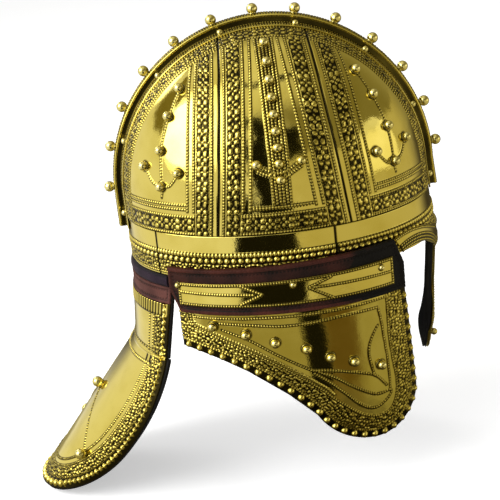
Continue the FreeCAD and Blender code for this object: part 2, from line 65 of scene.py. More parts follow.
class Shade:
    """A socket of a material. Arithmetic on it adds Math nodes, and add() makes any other node."""

    def __init__(self, tree, socket=None):
        self.tree = tree
        self.socket = socket

    def add(self, kind, settings=None, inputs=None, output=0):
        """A node of a type, its settings first, then the values or links of its sockets."""
        node = self.tree.nodes.new(kind)
        for key, value in (settings or {}).items():
            setattr(node, key, value)
        for key, value in (inputs or {}).items():
            if isinstance(value, Shade):
                self.tree.links.new(value.socket, node.inputs[key])
            elif isinstance(value, tuple) and node.inputs[key].type == "RGBA":
                node.inputs[key].default_value = (*value, 1)
            else:
                node.inputs[key].default_value = value
        return Shade(self.tree, node.outputs[output])

    def math(self, operation, *others):
        return self.add("ShaderNodeMath", {"operation": operation}, dict(enumerate((self,) + others)))

    def __add__(self, other):
        return self.math("ADD", other)

    def __sub__(self, other):
        return self.math("SUBTRACT", other)

    def __mul__(self, other):
        return self.math("MULTIPLY", other)

    def __rsub__(self, other):
        return (self * -1.0) + other

    __radd__ = __add__
    __rmul__ = __mul__

    def between(self, low, high):
        """0 below the low value, 1 above the high one, smooth between."""
        settings = {"interpolation_type": "SMOOTHSTEP"}
        return self.add("ShaderNodeMapRange", settings, {"Value": self, "From Min": low, "From Max": high})

    def mix(self, first, second):
        """The second colour where this is 1 and the first where it is 0."""
        return self.add("ShaderNodeMix", {"data_type": "RGBA"}, {0: self, 6: first, 7: second}, 2)


def start_material(name):
    """A new material, its tree of nodes and the surface shader in it."""
    material = bpy.data.materials.new(name)
    material.use_nodes = True
    tree = material.node_tree
    return material, tree, tree.nodes["Principled BSDF"]


def plug(shader, name, value):
    """Link a shade to a socket of a shader, or set the value there."""
    if isinstance(value, Shade):
        shader.id_data.links.new(value.socket, shader.inputs[name])
    elif isinstance(value, tuple):
        shader.inputs[name].default_value = (*value, 1)
    else:
        shader.inputs[name].default_value = value


# World: white to the camera and soft grey to everything else but the metal, which mirrors a
# studio: a pale window wall at the back end, a darker wall in front and dark cards between.
# Each card is given by its left and right turn and its low and high rise, in degrees.
OLIVE_CARD, BROWN_CARD = (-122, -95, 22, 46), (17, 38, -46, -20)
DARK_CARDS = [(-18, -2, -12, 42), (5, 19, 14, 34), (-31, 7, -27, -6), (5, 19, -48, -20), (-70, 60, 68, 72)]


def studio_colour(shade, direction):
    """What the metal mirrors at a direction, laid out by its turn and its rise in degrees.

    The turn is 0 to the camera's side and 90 to the front; a noise makes the edges ragged."""
    parts = shade.add("ShaderNodeSeparateXYZ", None, {0: direction})
    x, y, z = (Shade(shade.tree, parts.socket.node.outputs[axis]) for axis in "XYZ")
    wave = shade.add("ShaderNodeTexNoise", None,
                     {"Vector": direction, "Scale": 4.5, "Detail": 4.0, "Roughness": 0.6}) - 0.5
    turn = x.math("ARCTAN2", y * -1.0) * 57.3 + wave * 28.0
    rise = z.math("ARCSINE") * 57.3 - wave * 19.0

    def card(left, right, low, high, soft=1.2):
        """1 on a card, 0 round it, and smooth at its edges."""
        inside = turn.between(left - soft, left + soft) * (1.0 - turn.between(right - soft, right + soft))
        inside = inside * rise.between(low - soft, low + soft)
        return inside * (1.0 - rise.between(high - soft, high + soft))

    front_wall = rise.between(12, 16).mix((0.62, 0.56, 0.36), (0.25, 0.22, 0.11))
    walls = turn.between(-48, 30).mix((1.0, 0.98, 0.92), front_wall)
    ceiling = x.between(0.0, 0.5).mix((0.92, 0.88, 0.72), (0.36, 0.32, 0.18))
    room = rise.between(44, 56).mix(walls, ceiling)
    back = y.between(0.30, 0.70) * (1.0 - (x * -1.0).between(0.40, 0.72))
    room = back.mix(room, rise.between(-8, 6).mix((0.06, 0.05, 0.03), (0.34, 0.31, 0.18)))
    room = (1.0 - rise.between(-30, -22)).mix(room, (0.40, 0.36, 0.20))
    room = (1.0 - rise.between(-52, -40)).mix(room, (0.05, 0.04, 0.02))
    room = card(*OLIVE_CARD).mix(room, (0.24, 0.20, 0.06))
    room = card(*BROWN_CARD, 6.0).mix(room, (0.15, 0.10, 0.03))
    dark = card(*DARK_CARDS[0])
    for edges in DARK_CARDS[1:]:
        dark = dark.math("MAXIMUM", card(*edges))
    return dark.mix(room, (0.010, 0.009, 0.004))


world = bpy.data.worlds.new("studio")
bpy.context.scene.world = world
world.use_nodes = True
sky = Shade(world.node_tree)
background = world.node_tree.nodes["Background"]
ray = sky.add("ShaderNodeLightPath")
is_camera = Shade(world.node_tree, ray.socket.node.outputs["Is Camera Ray"])
is_glossy = Shade(world.node_tree, ray.socket.node.outputs["Is Glossy Ray"])
mirrored_walls = studio_colour(sky, sky.add("ShaderNodeTexCoord", output=0))
lit_colour = is_glossy.mix((0.5, 0.5, 0.5), mirrored_walls)
plug(background, "Color", is_camera.mix(lit_colour, (1.0, 1.0, 1.0)))
background.inputs["Strength"].default_value = 1.0

# A soft window light from the back end, its haze and two weak ones, each turned to the helmet
soft_lights = {
    "window_light": ((-1.56, -0.60, 1.02), 1.5, 20.0),
    "window_haze": ((-1.70, -0.95, 1.25), 2.7, 24.0),
    "front_light": ((1.90, -0.50, 0.05), 1.5, 4.0),
    "back_light": ((-1.2, 1.4, 1.1), 1.0, 8.0),
}
for light_name, (place, size, power) in soft_lights.items():
    lamp = bpy.data.lights.new(light_name, "AREA")
    lamp.shape = "DISK"
    lamp.size = size
    lamp.energy = power
    light = bpy.data.objects.new(light_name, lamp)
    bpy.context.scene.collection.objects.link(light)
    light.location = place
    light.rotation_euler = Vector(place).to_track_quat("Z", "Y").to_euler()

# Embossed sheathing: three panels of thin brass on each side of the bowl, chased from the
# front with bead rows, bands of punched flowers and pellets, and beaded lines between studs.
BOWL_LENGTH, BOWL_WIDTH, CROWN_HEIGHT = 109.5, 91.0, 49.0
RIM_SHIFT, RIM_FLARE = 2.3, 1.9
PANEL_FOOT = 31.0
SEAM_FOOT, SEAM_LEAN = 45.2, 15.5
SEAM_GAP = 0.15
FLANGE_EDGE = 15.0
PANEL_UNDER, PANEL_TIP = 3.0, 2.5
SHEET = 1.0
MM = 0.001


def unit(vectors):
    """Vectors of length one in the same directions."""
    return vectors / np.linalg.norm(vectors, axis=-1, keepdims=True)


def facing(shape, u, v):
    """Outward direction of a surface: the cross product of its two small steps."""
    step = 1e-3
    across = shape(u + step, v) - shape(u - step, v)
    up = shape(u, v + step) - shape(u, v - step)
    normal = unit(np.cross(across, up))
    out = shape(u, v) * [1, 1, 0]
    return normal * np.sign(np.sum(normal * out, -1).mean())


def polygons_to_mesh(name, points, polygons, sharp=(), hollow=None):
    """A mesh of points in millimetres and index arrays, each with one row of corners to a face."""
    mesh = bpy.data.meshes.new(name)
    corners = np.concatenate([faces.ravel() for faces in polygons]).astype(np.int32)
    sizes = np.concatenate([np.full(len(faces), faces.shape[1]) for faces in polygons])
    starts = np.concatenate([[0], np.cumsum(sizes)[:-1]]).astype(np.int32)
    mesh.vertices.add(len(points))
    mesh.vertices.foreach_set("co", (points * MM).astype(np.float32).ravel())
    mesh.loops.add(len(corners))
    mesh.loops.foreach_set("vertex_index", corners)
    mesh.polygons.add(len(sizes))
    mesh.polygons.foreach_set("loop_start", starts)
    mesh.update(calc_edges=True)
    flat = mesh.attributes.new("sharp_face", "BOOLEAN", "FACE")
    flags = np.concatenate([np.full(len(faces), i in sharp) for i, faces in enumerate(polygons)])
    flat.data.foreach_set("value", flags)
    if hollow is not None:
        # The hollow values darken the finish: patina and painted shade in the worked places
        depth = mesh.attributes.new("hollow", "FLOAT", "POINT")
        depth.data.foreach_set("value", hollow.astype(np.float32))
    piece = bpy.data.objects.new(name, mesh)
    bpy.context.scene.collection.objects.link(piece)
    return piece


def sheet_piece(name, shape, relief, columns, rows, thickness, back_columns=7, mirror=False):
    """A sheet with an embossed front and a plain back a thickness behind it, walled all round.

    shape gives places for u across and v up, both 0 to 1; relief gives for those places the
    height over the surface and how dark the hollow is."""
    def grid(columns):
        u, v = np.meshgrid(np.linspace(0, 1, columns), np.linspace(0, 1, rows))
        return u, v, shape(u, v), facing(shape, u, v)

    u, v, place, normal = grid(columns)
    height, hollow = relief(u, v, place)
    front = place + normal * height[..., None]
    _, _, back_place, back_normal = grid(back_columns)
    back = back_place - back_normal * thickness
    turned = np.cross(np.gradient(place, axis=1), np.gradient(place, axis=0))
    hand = np.sum(turned * normal)
    points = np.concatenate([front.reshape(-1, 3), back.reshape(-1, 3)])
    ahead = np.arange(rows * columns).reshape(rows, columns)
    behind = np.arange(rows * back_columns).reshape(rows, back_columns) + rows * columns

    def quads(*corners):
        return np.stack([corner.ravel() for corner in corners], -1)

    polygons = [quads(ahead[:-1, :-1], ahead[:-1, 1:], ahead[1:, 1:], ahead[1:, :-1]),
                quads(behind[:-1, :-1], behind[1:, :-1], behind[1:, 1:], behind[:-1, 1:]),
                quads(ahead[:-1, 0], ahead[1:, 0], behind[1:, 0], behind[:-1, 0]),
                quads(ahead[1:, -1], ahead[:-1, -1], behind[:-1, -1], behind[1:, -1]),
                np.concatenate([ahead[0, ::-1], behind[0]])[None],
                np.concatenate([ahead[-1], behind[-1, ::-1]])[None]]
    if mirror:
        points = points * [1, -1, 1]
    if (hand < 0) != mirror:
        polygons = [faces[:, ::-1] for faces in polygons]
    dark = np.concatenate([hollow.ravel(), np.zeros(back.size // 3)])
    return polygons_to_mesh(name, points, polygons, (2, 3, 4, 5), dark)


def run_length(place, axis):
    """Length along the grid of places from its first row or column."""
    steps = np.linalg.norm(np.diff(place, axis=axis), axis=-1)
    lengths = np.cumsum(steps, axis=axis)
    return np.concatenate([np.zeros_like(np.take(lengths, [0], axis)), lengths], axis)


def bead_row(across, along, pitch=2.1, radius=0.92, rise=0.85):
    """Round beads in a row: a ball's cap over the distance from the row and the nearest bead."""
    step = ((along / pitch) % 1 - 0.5) * pitch
    return rise * np.clip(1 - (across ** 2 + step ** 2) / radius ** 2, 0, None) ** 0.6


def bead_shadow(across, width=1.2):
    """1 in the line that a row of beads stands in, fading to 0 at its sides."""
    return np.clip(1.25 - (across / width) ** 2, 0, 1)


# Petals and small pellets of one flower, by place and size in shares of the band's width
PETALS = [(x, y, 0.19) for x in (-0.235, 0.235) for y in (-0.235, 0.235)]
SMALL_PELLETS = [(0, 0, 0.09), (-0.5, 0, 0.13), (0.5, 0, 0.13), (0, 0.46, 0.08), (0, -0.46, 0.08)]


def relief_band(across, along, width, rise=0.95):
    """Flowers of four petals, one to a square of the band, with small pellets thrown between."""
    wander = 0.05 * np.sin(along * 0.71) + 0.04 * np.sin(along * 1.93 + 1)
    x = (along / width + wander) % 1 - 0.5
    y = across / width + 0.04 * np.sin(along * 0.53)
    height = 0.55 * scatter(along, across, 1.9, 1.0)
    for x_middle, y_middle, size in PETALS + SMALL_PELLETS:
        gap = ((x - x_middle) ** 2 + (y - y_middle) ** 2) / size ** 2
        height = np.maximum(height, np.clip(1 - gap, 0, None) ** 0.6)
    height = height * (0.88 + 0.12 * np.sin(along * 0.37 + 2))
    inside = np.clip((width / 2 - abs(across)) / 0.4, 0, 1)
    return rise * height * inside, inside


def scatter(along, across, size, seed):
    """Pellets thrown close over a ground: one to a cell, moved about inside it by sines."""
    x, y = along / size, across / size
    column, row = np.floor(x), np.floor(y)
    dx = 0.24 * np.sin(column * 12.9 + row * 78.2 + seed)
    dy = 0.24 * np.sin(column * 39.3 + row * 11.1 + seed * 2)
    big = 0.40 + 0.08 * np.sin(column * 5.1 + row * 3.7 + seed)
    gap = ((x - column - 0.5 - dx) ** 2 + (y - row - 0.5 - dy) ** 2) / big ** 2
    return np.clip(1 - gap, 0, None) ** 0.6


def rough_ground(along, across, lower=0.75):
    """Two sizes of pellets over each other, the smaller ones lower, as a punched ground."""
    small = scatter(along + 1.3, across + 0.9, 2.1, 2.0)
    return np.maximum(scatter(along, across, 2.9, 0.4), lower * small)


def beaten(place):
    """The slight unevenness of hand-beaten sheet: three long waves that cross each other."""
    x, y, z = place[..., 0], place[..., 1], place[..., 2]
    waves = np.sin(x / 5.1 + 0.7 * np.sin(z / 9.7)) * np.cos(z / 6.3 + y / 17)
    return 0.05 * waves + 0.1 * np.sin(x / 13 + z / 17) * np.cos(z / 11 - y / 19 + x / 29)


def nearest(place, line):
    """Distance from each place to a line of points, and how far along the line the nearest one is."""
    line = np.asarray(line, float)
    best = np.full(place.shape[:-1], 1e9)
    along = np.zeros(place.shape[:-1])
    travelled = 0.0
    for first, second in zip(line, line[1:]):
        run = second - first
        length = max(np.linalg.norm(run), 1e-6)
        share = np.clip((place - first) @ run / length ** 2, 0, 1)
        gap = np.linalg.norm(place - first - share[..., None] * run, axis=-1)
        along = np.where(gap < best, travelled + share * length, along)
        best = np.minimum(best, gap)
        travelled += length
    return best, along


def smooth_line(points, count=24):
    """A cubic curve through all the points, its direction at each set by the two beside it."""
    points = np.asarray(points, float)
    share = np.linspace(0, len(points) - 1, count)
    low = np.clip(share.astype(int), 0, len(points) - 2)
    part = (share - low)[:, None]
    before, after = points[np.clip(low - 1, 0, None)], points[np.clip(low + 2, None, len(points) - 1)]
    here, there = points[low], points[low + 1]
    return here + part * ((there - before) / 2 + part * ((before * 2 - here * 5 + there * 4 - after) / 2
                          + part * (here * 3 - before - there * 3 + after) / 2))


def spread_at(height):
    """Flare of the wall below the crown centre: its growth and its shift to the front."""
    share = np.clip(CROWN_HEIGHT - height, 0, None) / CROWN_HEIGHT
    return 1 + RIM_FLARE / BOWL_LENGTH * share, RIM_SHIFT * share


def seam_at(height):
    """Distance of a seam from the middle of the bowl; it leans in towards the crown."""
    return SEAM_FOOT - SEAM_LEAN * (height - PANEL_FOOT) / (CROWN_HEIGHT + BOWL_LENGTH - PANEL_FOOT)


def side_height(travel):
    """Height, shrink and shift of the bowl's level section after a travel up the middle line."""
    over = np.clip(travel, 0, None) / BOWL_LENGTH
    height = CROWN_HEIGHT + np.where(travel < 0, travel, BOWL_LENGTH * np.sin(over))
    growth, shift = spread_at(height)
    return height, np.where(travel < 0, growth, np.cos(over)), shift


def end_panel(end):
    """Panel between the ridge and a seam; end is 1 for the brow and -1 for the back.

    Each level section is an ellipse, walked from under the ridge to the leaning seam."""
    low = PANEL_FOOT - CROWN_HEIGHT
    trial = np.linspace(0, BOWL_LENGTH * 1.5, 2000)
    height, shrink, shift = side_height(trial)
    room = BOWL_LENGTH * shrink * np.sqrt(1 - (PANEL_UNDER / BOWL_WIDTH) ** 2) - seam_at(height)
    high = trial[room > PANEL_TIP].max()

    def shape(u, v):
        travel = low + (high - low) * v
        height, shrink, shift = side_height(travel)
        cosine = (seam_at(height) + SEAM_GAP - end * shift) / (BOWL_LENGTH * shrink)
        far = np.arccos(np.clip(cosine, -1, 1))
        near = np.arcsin(PANEL_UNDER / (BOWL_WIDTH * shrink))
        angle = near + (far - near) * u
        return np.stack([shift + end * BOWL_LENGTH * shrink * np.cos(angle),
                         -BOWL_WIDTH * shrink * np.sin(angle), height], -1)
    return shape


def middle_panel(u, v):
    """Panel between the two seams: leaning side lines, walked from the foot up to the ridge."""
    wall = CROWN_HEIGHT - PANEL_FOOT
    over = math.asin(1) - PANEL_UNDER / BOWL_WIDTH
    travel = -wall + (wall + over * BOWL_LENGTH) * v
    turn = np.clip(travel, 0, None) / BOWL_LENGTH
    height = CROWN_HEIGHT + np.minimum(travel, 0)
    for _ in range(4):
        x = (2 * u - 1) * (seam_at(height) - SEAM_GAP)
        section = np.sqrt(BOWL_LENGTH ** 2 - x ** 2)
        height = CROWN_HEIGHT + np.where(travel < 0, travel, section * np.sin(turn))
    growth, shift = spread_at(height)
    side = np.sqrt(1 - ((x - shift) / (BOWL_LENGTH * growth)) ** 2)
    y = np.where(travel < 0, side * growth, section / BOWL_LENGTH * np.cos(turn))
    return np.stack([x, -BOWL_WIDTH * y, height], -1)


# Length over the bowl from the middle plane, by the angle that the distance from it stands for
arc_angles = np.linspace(0, math.pi / 2, 400)
arc_steps = np.hypot(BOWL_LENGTH * np.sin(arc_angles), BOWL_WIDTH * np.cos(arc_angles))
arc_lengths = np.concatenate([[0], np.cumsum((arc_steps[1:] + arc_steps[:-1]) / 2 * np.diff(arc_angles))])


def from_ridge(place):
    """Distance over the surface from the edge of the ridge's flange, and the place along it."""
    growth, shift = spread_at(place[..., 2])
    angle = np.arcsin(np.clip(abs(place[..., 1]) / (BOWL_WIDTH * growth), 0, 1))
    edge = math.asin(FLANGE_EDGE / BOWL_WIDTH)
    rise = place[..., 2] - CROWN_HEIGHT
    along = np.where(rise > 0, BOWL_LENGTH * np.arctan2(rise, abs(place[..., 0])), rise)
    return np.interp(angle, arc_angles, arc_lengths) - np.interp(edge, arc_angles, arc_lengths), along


def bowl_spot(x_share, rise_share):
    """Place on the right of the bowl by shares of its half length, and the ellipsoid's direction."""
    side = math.sqrt(1 - x_share ** 2 - rise_share ** 2)
    place = np.array([BOWL_LENGTH * x_share, -BOWL_WIDTH * side, CROWN_HEIGHT + BOWL_LENGTH * rise_share])
    return place, unit(np.array([x_share / BOWL_LENGTH, -side / BOWL_WIDTH, rise_share / BOWL_LENGTH]))


def onto_bowl(points):
    """The same places moved out along their own directions to the surface of the bowl."""
    away = points - [0, 0, CROWN_HEIGHT]
    share = np.linalg.norm(away / [BOWL_LENGTH, BOWL_WIDTH, BOWL_LENGTH], axis=-1, keepdims=True)
    return away / share + [0, 0, CROWN_HEIGHT]


# Studs by shares of the half length, forward and up. Then the borders of a panel by distances
# from its edge: bead rows, sides of the punched band, and how far it is laid over the others
# at first and, where these leave the sheet free, after them.
TRIDENT = [(0.545, 0.7), (0.632, 0.55), (0.704, 0.355), (0.61, 0.23), (0.82, 0.25), (0.726, 0.14)]
ANCHOR = [(-0.135, 0.269), (0.135, 0.269), (0.0, 0.169)]
COLUMN = [(0.0, r) for r in np.linspace(0.265, 0.913, 8)]
END_BORDERS = {"crest": ((1.2, 12.0, 15.2), (2.4, 10.8), (16.4,)),
               "seam": ((5.0, 18.2, 23.0), (6.6, 16.6), (17.6, 24.3)),
               "foot": ((1.4, 13.4, 18.6, 21.6), (2.8, 12.2), (16.5, 23.0))}
MIDDLE_BORDERS = {"crest": ((1.2, 14.4), (2.4, 13.0), (15.6,)),
                  "seam": ((3.4, 16.6, 21.6), (5.0, 15.0), (15.8, 22.8)),
                  "foot": ((1.4, 13.4, 18.6), (2.8, 12.2), (16.0, 19.8))}


def border(away, along, beads, band):
    """Bead rows and one relief band at distances from an edge."""
    height = np.zeros_like(away)
    hollow = np.zeros_like(away)
    for place in beads:
        height = np.maximum(height, bead_row(away - place, along))
        hollow = np.maximum(hollow, bead_shadow(away - place))
    low, high = band
    punched, inside = relief_band(away - (low + high) / 2, along, high - low)
    return height + punched, np.maximum(hollow, inside)


def stack_relief(layers):
    """Borders over each other: each takes what lies within its own reach and is still free."""
    height, hollow, taken = 0, 0, 0
    for (rise, dark), reach in layers:
        free = reach * (1 - taken)
        height = height + rise * free
        hollow = hollow + dark * free
        taken = np.maximum(taken, reach)
    return height, hollow, taken


def beaded_lines(place, lines, pitch=2.0):
    """Bead rows along lines, and the painted shade at their sides."""
    height = np.zeros(place.shape[:-1])
    hollow = np.zeros(place.shape[:-1])
    for line in lines:
        gap, along = nearest(place, line)
        height = np.maximum(height, bead_row(gap, along, pitch))
        hollow = np.maximum(hollow, bead_shadow(gap))
    return height, hollow


def darkness(height, hollow, full=0.75):
    """How dark a place is: patina and painted shade at the bottom of the worked ground; the tops are
    bright.
    """
    return np.clip(hollow * 1.8 * (1 - height / full), 0, 1)


def within(distance, limit, soft=0.3):
    """1 below a limit, 0 above it, with a short ramp before it."""
    return np.clip((limit - distance) / soft, 0, 1)


def turned_in(height, hollow, edges):
    """The edge of a sheet rubbed down to the joint beside it: dirt in seams, painted shade at flange and
    foot.
    """
    joint = np.maximum.reduce([within(edge, 1.0, 0.5) for edge in edges])
    return height * (1 - joint) - 0.3 * joint, np.maximum(hollow, joint)


def shade_round(place, spots):
    """Rings of painted shade round the collars of studs, where their heads shade the sheet."""
    return np.maximum.reduce([within(np.linalg.norm(place - spot, axis=-1), 4.9, 1.2) * 0.55
                              for spot in spots])


def panel_relief(borders, place, edges, alongs, lines, stud_shade=0.0):
    """Borders along the ridge, the seam and the foot, and beaded lines where they leave it free."""
    strips = [(border(edge, along, *sides[:2]), edge, sides[2])
              for sides, edge, along in zip(borders.values(), edges, alongs)]
    height, hollow, taken = stack_relief(
        [(worked, within(edge, reach[turn])) for turn in (0, 1) for worked, edge, reach in strips
         if turn < len(reach)])
    height = height + lines[0] * (1 - taken)
    hollow = np.maximum(hollow, lines[1] * (1 - taken))
    from_crest, from_seam, from_foot = edges
    height, hollow = turned_in(height, hollow, (from_seam, from_crest, from_foot + 0.4))
    # Painted shade round the collars of the studs
    hollow = np.maximum(hollow, stud_shade)
    return height + beaten(place) * (1 - hollow), darkness(height, hollow)


TRIDENT_STEM, ARM_SAG = (0.735, 0.07), [0, 0, 4]


def end_relief(end):
    """Ornament of the rear or the front panel: borders on three sides round a beaded trident."""
    studs = [bowl_spot(end * x, r)[0] for x, r in TRIDENT]
    top, second, third, inner, outer, foot = studs
    stem = bowl_spot(end * TRIDENT_STEM[0], TRIDENT_STEM[1])[0]
    lines = [onto_bowl(smooth_line(points, 30)) for points in (
        [top, second, third, foot, stem], [inner, (inner + foot) / 2 - ARM_SAG, foot],
        [outer, (outer + foot) / 2 - ARM_SAG, foot])]

    def relief(u, v, place):
        across = run_length(place, 1)
        from_seam = across[:, -1:] - across
        up_seam = run_length(place[:, -1:], 0) + 0 * u
        round_foot = from_seam[:1] + 0 * u
        away, along = from_ridge(place)
        return panel_relief(END_BORDERS, place, (away, from_seam, place[..., 2] - PANEL_FOOT),
                            (along, up_seam, round_foot), beaded_lines(place, lines),
                            shade_round(place, studs))
    return relief


# The studded column and its anchor: bead rows by distance from the middle line of the panel,
# half width, the height up to which the inmost row is full, dip and two rows of the arms
OUTER_ROW, MIDDLE_ROW, INNER_ROW, COLUMN_HALF, COLUMN_LOW = 5.9, 3.6, 1.2, 7.0, 66
ANCHOR_DIP, ANCHOR_ROWS = 0.215, (0.6, 4.0)


def middle_relief(u, v, place):
    """Ornament of the middle panel: borders on both seams, a beaded column and an anchor."""
    across = run_length(place, 1)
    from_seam = np.minimum(across, across[:, -1:] - across)
    up_seam = run_length(place[:, :1], 0) + 0 * u
    away, along = from_ridge(place)
    centre = abs(across - across[:, -1:] / 2)
    up = run_length(place[:, place.shape[1] // 2][:, None], 0) + 0 * u
    arms = [bowl_spot(*ANCHOR[0])[0], bowl_spot(0, ANCHOR_DIP)[0], bowl_spot(*ANCHOR[1])[0]]
    lines = [onto_bowl(smooth_line([p - [0, 0, drop] for p in arms], 20)) for drop in ANCHOR_ROWS]
    lined, lined_hollow = beaded_lines(place, lines)
    inmost = bead_row(centre - INNER_ROW, up) * np.maximum(within(place[..., 2], COLUMN_LOW), 0.8)
    lined = np.maximum.reduce([lined, bead_row(centre - OUTER_ROW, up),
                               bead_row(centre - MIDDLE_ROW, up + 1), inmost])
    lined_hollow = np.maximum(lined_hollow, within(centre, COLUMN_HALF))
    return panel_relief(MIDDLE_BORDERS, place, (away, from_seam, place[..., 2] - PANEL_FOOT),
                        (along, up_seam, across), (lined, lined_hollow))


def brass(name, bright, worn_and_shaded, deep, gloss):
    """Polished brass: brown with wear and painted shade, nearly black with patina and painted shade in its
    hollows.
    """
    material, tree, shader = start_material(name)
    shade = Shade(tree)
    where = shade.add("ShaderNodeTexCoord", output=3)
    hollow = shade.add("ShaderNodeAttribute", {"attribute_name": "hollow"}, output=2)
    stains = shade.add("ShaderNodeTexNoise", None, {"Vector": where, "Scale": 38.0, "Detail": 5.0})
    grain = shade.add("ShaderNodeTexNoise", None, {"Vector": where, "Scale": 900.0, "Detail": 2.0})
    depth = hollow + (stains - 0.5) * 0.3 * hollow
    faded = tuple(part * fade for part, fade in zip(bright, (0.88, 0.86, 0.7)))
    tint = stains.between(0.35, 0.7).mix(bright, faded)
    brown = depth.between(0.05, 0.6).mix(tint, worn_and_shaded)
    plug(shader, "Base Color", depth.between(0.6, 1.0).mix(brown, deep))
    plug(shader, "Metallic", 1.0)
    plug(shader, "Roughness", (stains - 0.5) * 0.12 + hollow * 0.22 + gloss)
    dents = shade.add("ShaderNodeTexNoise", None, {"Vector": where, "Scale": 130.0, "Detail": 4.0})
    bump = shade.add("ShaderNodeBump", None, {"Strength": 1.0, "Distance": 0.00008, "Height": dents})
    bump = shade.add("ShaderNodeBump", None,
                     {"Strength": 0.12, "Distance": 0.0002, "Height": grain, "Normal": bump})
    plug(shader, "Normal", bump)
    return material


sheet_brass = brass("sheet_brass", (0.75, 0.62, 0.15), (0.36, 0.28, 0.05), (0.022, 0.017, 0.005), 0.075)
# The studs' brass is paler than the sheet's; the pale tint is partly a painted highlight on the heads.
stud_brass = brass("stud_brass", (0.80, 0.70, 0.28), (0.30, 0.25, 0.07), (0.03, 0.024, 0.008), 0.08)


def dress(piece, material, slot, body, *nodes):
    """Give a piece its material, the body that it moves with and the nodes it stands for; the slot is not
    used.
    """
    piece.data.materials.append(material)
    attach(piece, body)
    if nodes:
        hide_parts(*nodes)


PANEL_GRID = (200, 250)
hands = (("right", False), ("left", True))
panel_kinds = {"rear": (end_panel(-1), end_relief(-1)), "middle": (middle_panel, middle_relief),
               "front": (end_panel(1), end_relief(1))}
for hand, mirrored in hands:
    for kind, (shape, relief) in panel_kinds.items():
        node = kind + "_panel_" + hand
        panel = sheet_piece(node + "_embossed", shape, relief, *PANEL_GRID, SHEET, mirror=mirrored)
        dress(panel, sheet_brass, "sheet_brass", "bowl", node)


# Turned brass studs and balls: each is a round head on a collar, riveted through the sheet.
# The collar is flat on the sheet, with a small step up to the neck of the ball.
HEAD_SIDES = 22
# Painted shade on the first four rings of each head: its collar and the step up to the ball
COLLAR_SHADE = [0.25, 0.5, 0.9, 0.9]


def ball_head(collar, ball, rise):
    """Profile of a head by radius and height: a collar, a step and a ball over a neck."""
    turns = np.radians(np.linspace(-48, 82, 11))
    foot = [(collar, 0.0), (collar, 0.35), (collar * 0.9, 0.6), (ball * 0.72, 0.7)]
    return np.array(foot + list(zip(ball * np.cos(turns), rise - ball + ball * np.sin(turns))))


def heads_piece(name, spots, profile, mirror=False):
    """Heads of one profile, which is turned round each place's own direction."""
    places = np.array([place for place, _ in spots])
    outward = unit(np.array([direction for _, direction in spots]))
    aside = unit(np.cross(outward, [0.31, 0.45, 0.84]))
    other = np.cross(outward, aside)
    turns = np.linspace(0, 2 * math.pi, HEAD_SIDES, endpoint=False)
    around = (aside[:, None] * np.cos(turns)[None, :, None] + other[:, None] * np.sin(turns)[None, :, None])
    rings = (places[:, None, None] + around[:, None] * profile[None, :, 0, None, None]
             + outward[:, None, None] * profile[None, :, 1, None, None])
    index = np.arange(rings[..., 0].size).reshape(rings.shape[:3])
    after = np.roll(index, -1, axis=2)
    quads = np.stack([index[:, :-1], after[:, :-1], after[:, 1:], index[:, 1:]], -1).reshape(-1, 4)
    polygons = [quads, index[:, 0, ::-1], index[:, -1]]
    hollow = np.zeros(rings.shape[:3])
    hollow[:, :4] = np.reshape(COLLAR_SHADE, (4, 1))
    points = rings.reshape(-1, 3)
    if mirror:
        points = points * [1, -1, 1]
        polygons = [faces[:, ::-1] for faces in polygons]
    return polygons_to_mesh(name, points, polygons, (1,), hollow.ravel())


def head_pair(node, finish, spots, profile, part=""):
    """The same heads on the right and the left, on the bowl or on their own side's part."""
    for hand, mirrored in hands:
        heads = heads_piece(node + "_" + hand + "_" + finish, spots, profile, mirrored)
        dress(heads, stud_brass, "stud_brass", hand + "_" + part if part else "bowl", node + "_" + hand)


stud_head = ball_head(collar=3.3, ball=3.25, rise=5.2)
stud_groups = {"rear": [(-x, r) for x, r in TRIDENT], "middle": COLUMN + ANCHOR, "front": TRIDENT}
for hand, mirrored in hands:
    for kind, places in stud_groups.items():
        node = kind + "_studs_" + hand
        studs = heads_piece(node + "_turned", [bowl_spot(*place) for place in places], stud_head, mirrored)
        dress(studs, stud_brass, "stud_brass", "bowl", node)


# Rim band: four strips of brass round the foot of the bowl, polished above a row of tall beads,
# with drops and struck pellets below it. Their joints are dark lines.
RIM_TOP = 30.9
TALL_ROW, DROP_ROW, FOOT_ROW = 17.4, 13.4, 2.4
GROUND_TOP, GROUND_FOOT, PELLET_TOP = 15.4, 3.6, 11.4
REAR_JOINT, FRONT_JOINT = -88.0, 33.0


def rim_strip(start, end):
    """A strip round the rim from one joint to the next one, clockwise from above.

    A joint is a pair: its distance in front of the middle, and whether it is on the left side."""
    def shape(u, v):
        height = RIM_TOP * v
        growth, shift = spread_at(height)

        def turn(joint):
            x, left = joint
            angle = np.arccos(np.clip((x - shift) / (BOWL_LENGTH * growth), -1, 1))
            return angle if left else 2 * math.pi - angle

        first, last = turn(start), turn(end)
        last = np.where(last > first, last - 2 * math.pi, last)
        angle = first + (last - first) * u
        return np.stack([shift + BOWL_LENGTH * growth * np.cos(angle),
                         BOWL_WIDTH * growth * np.sin(angle), height], -1)
    return shape


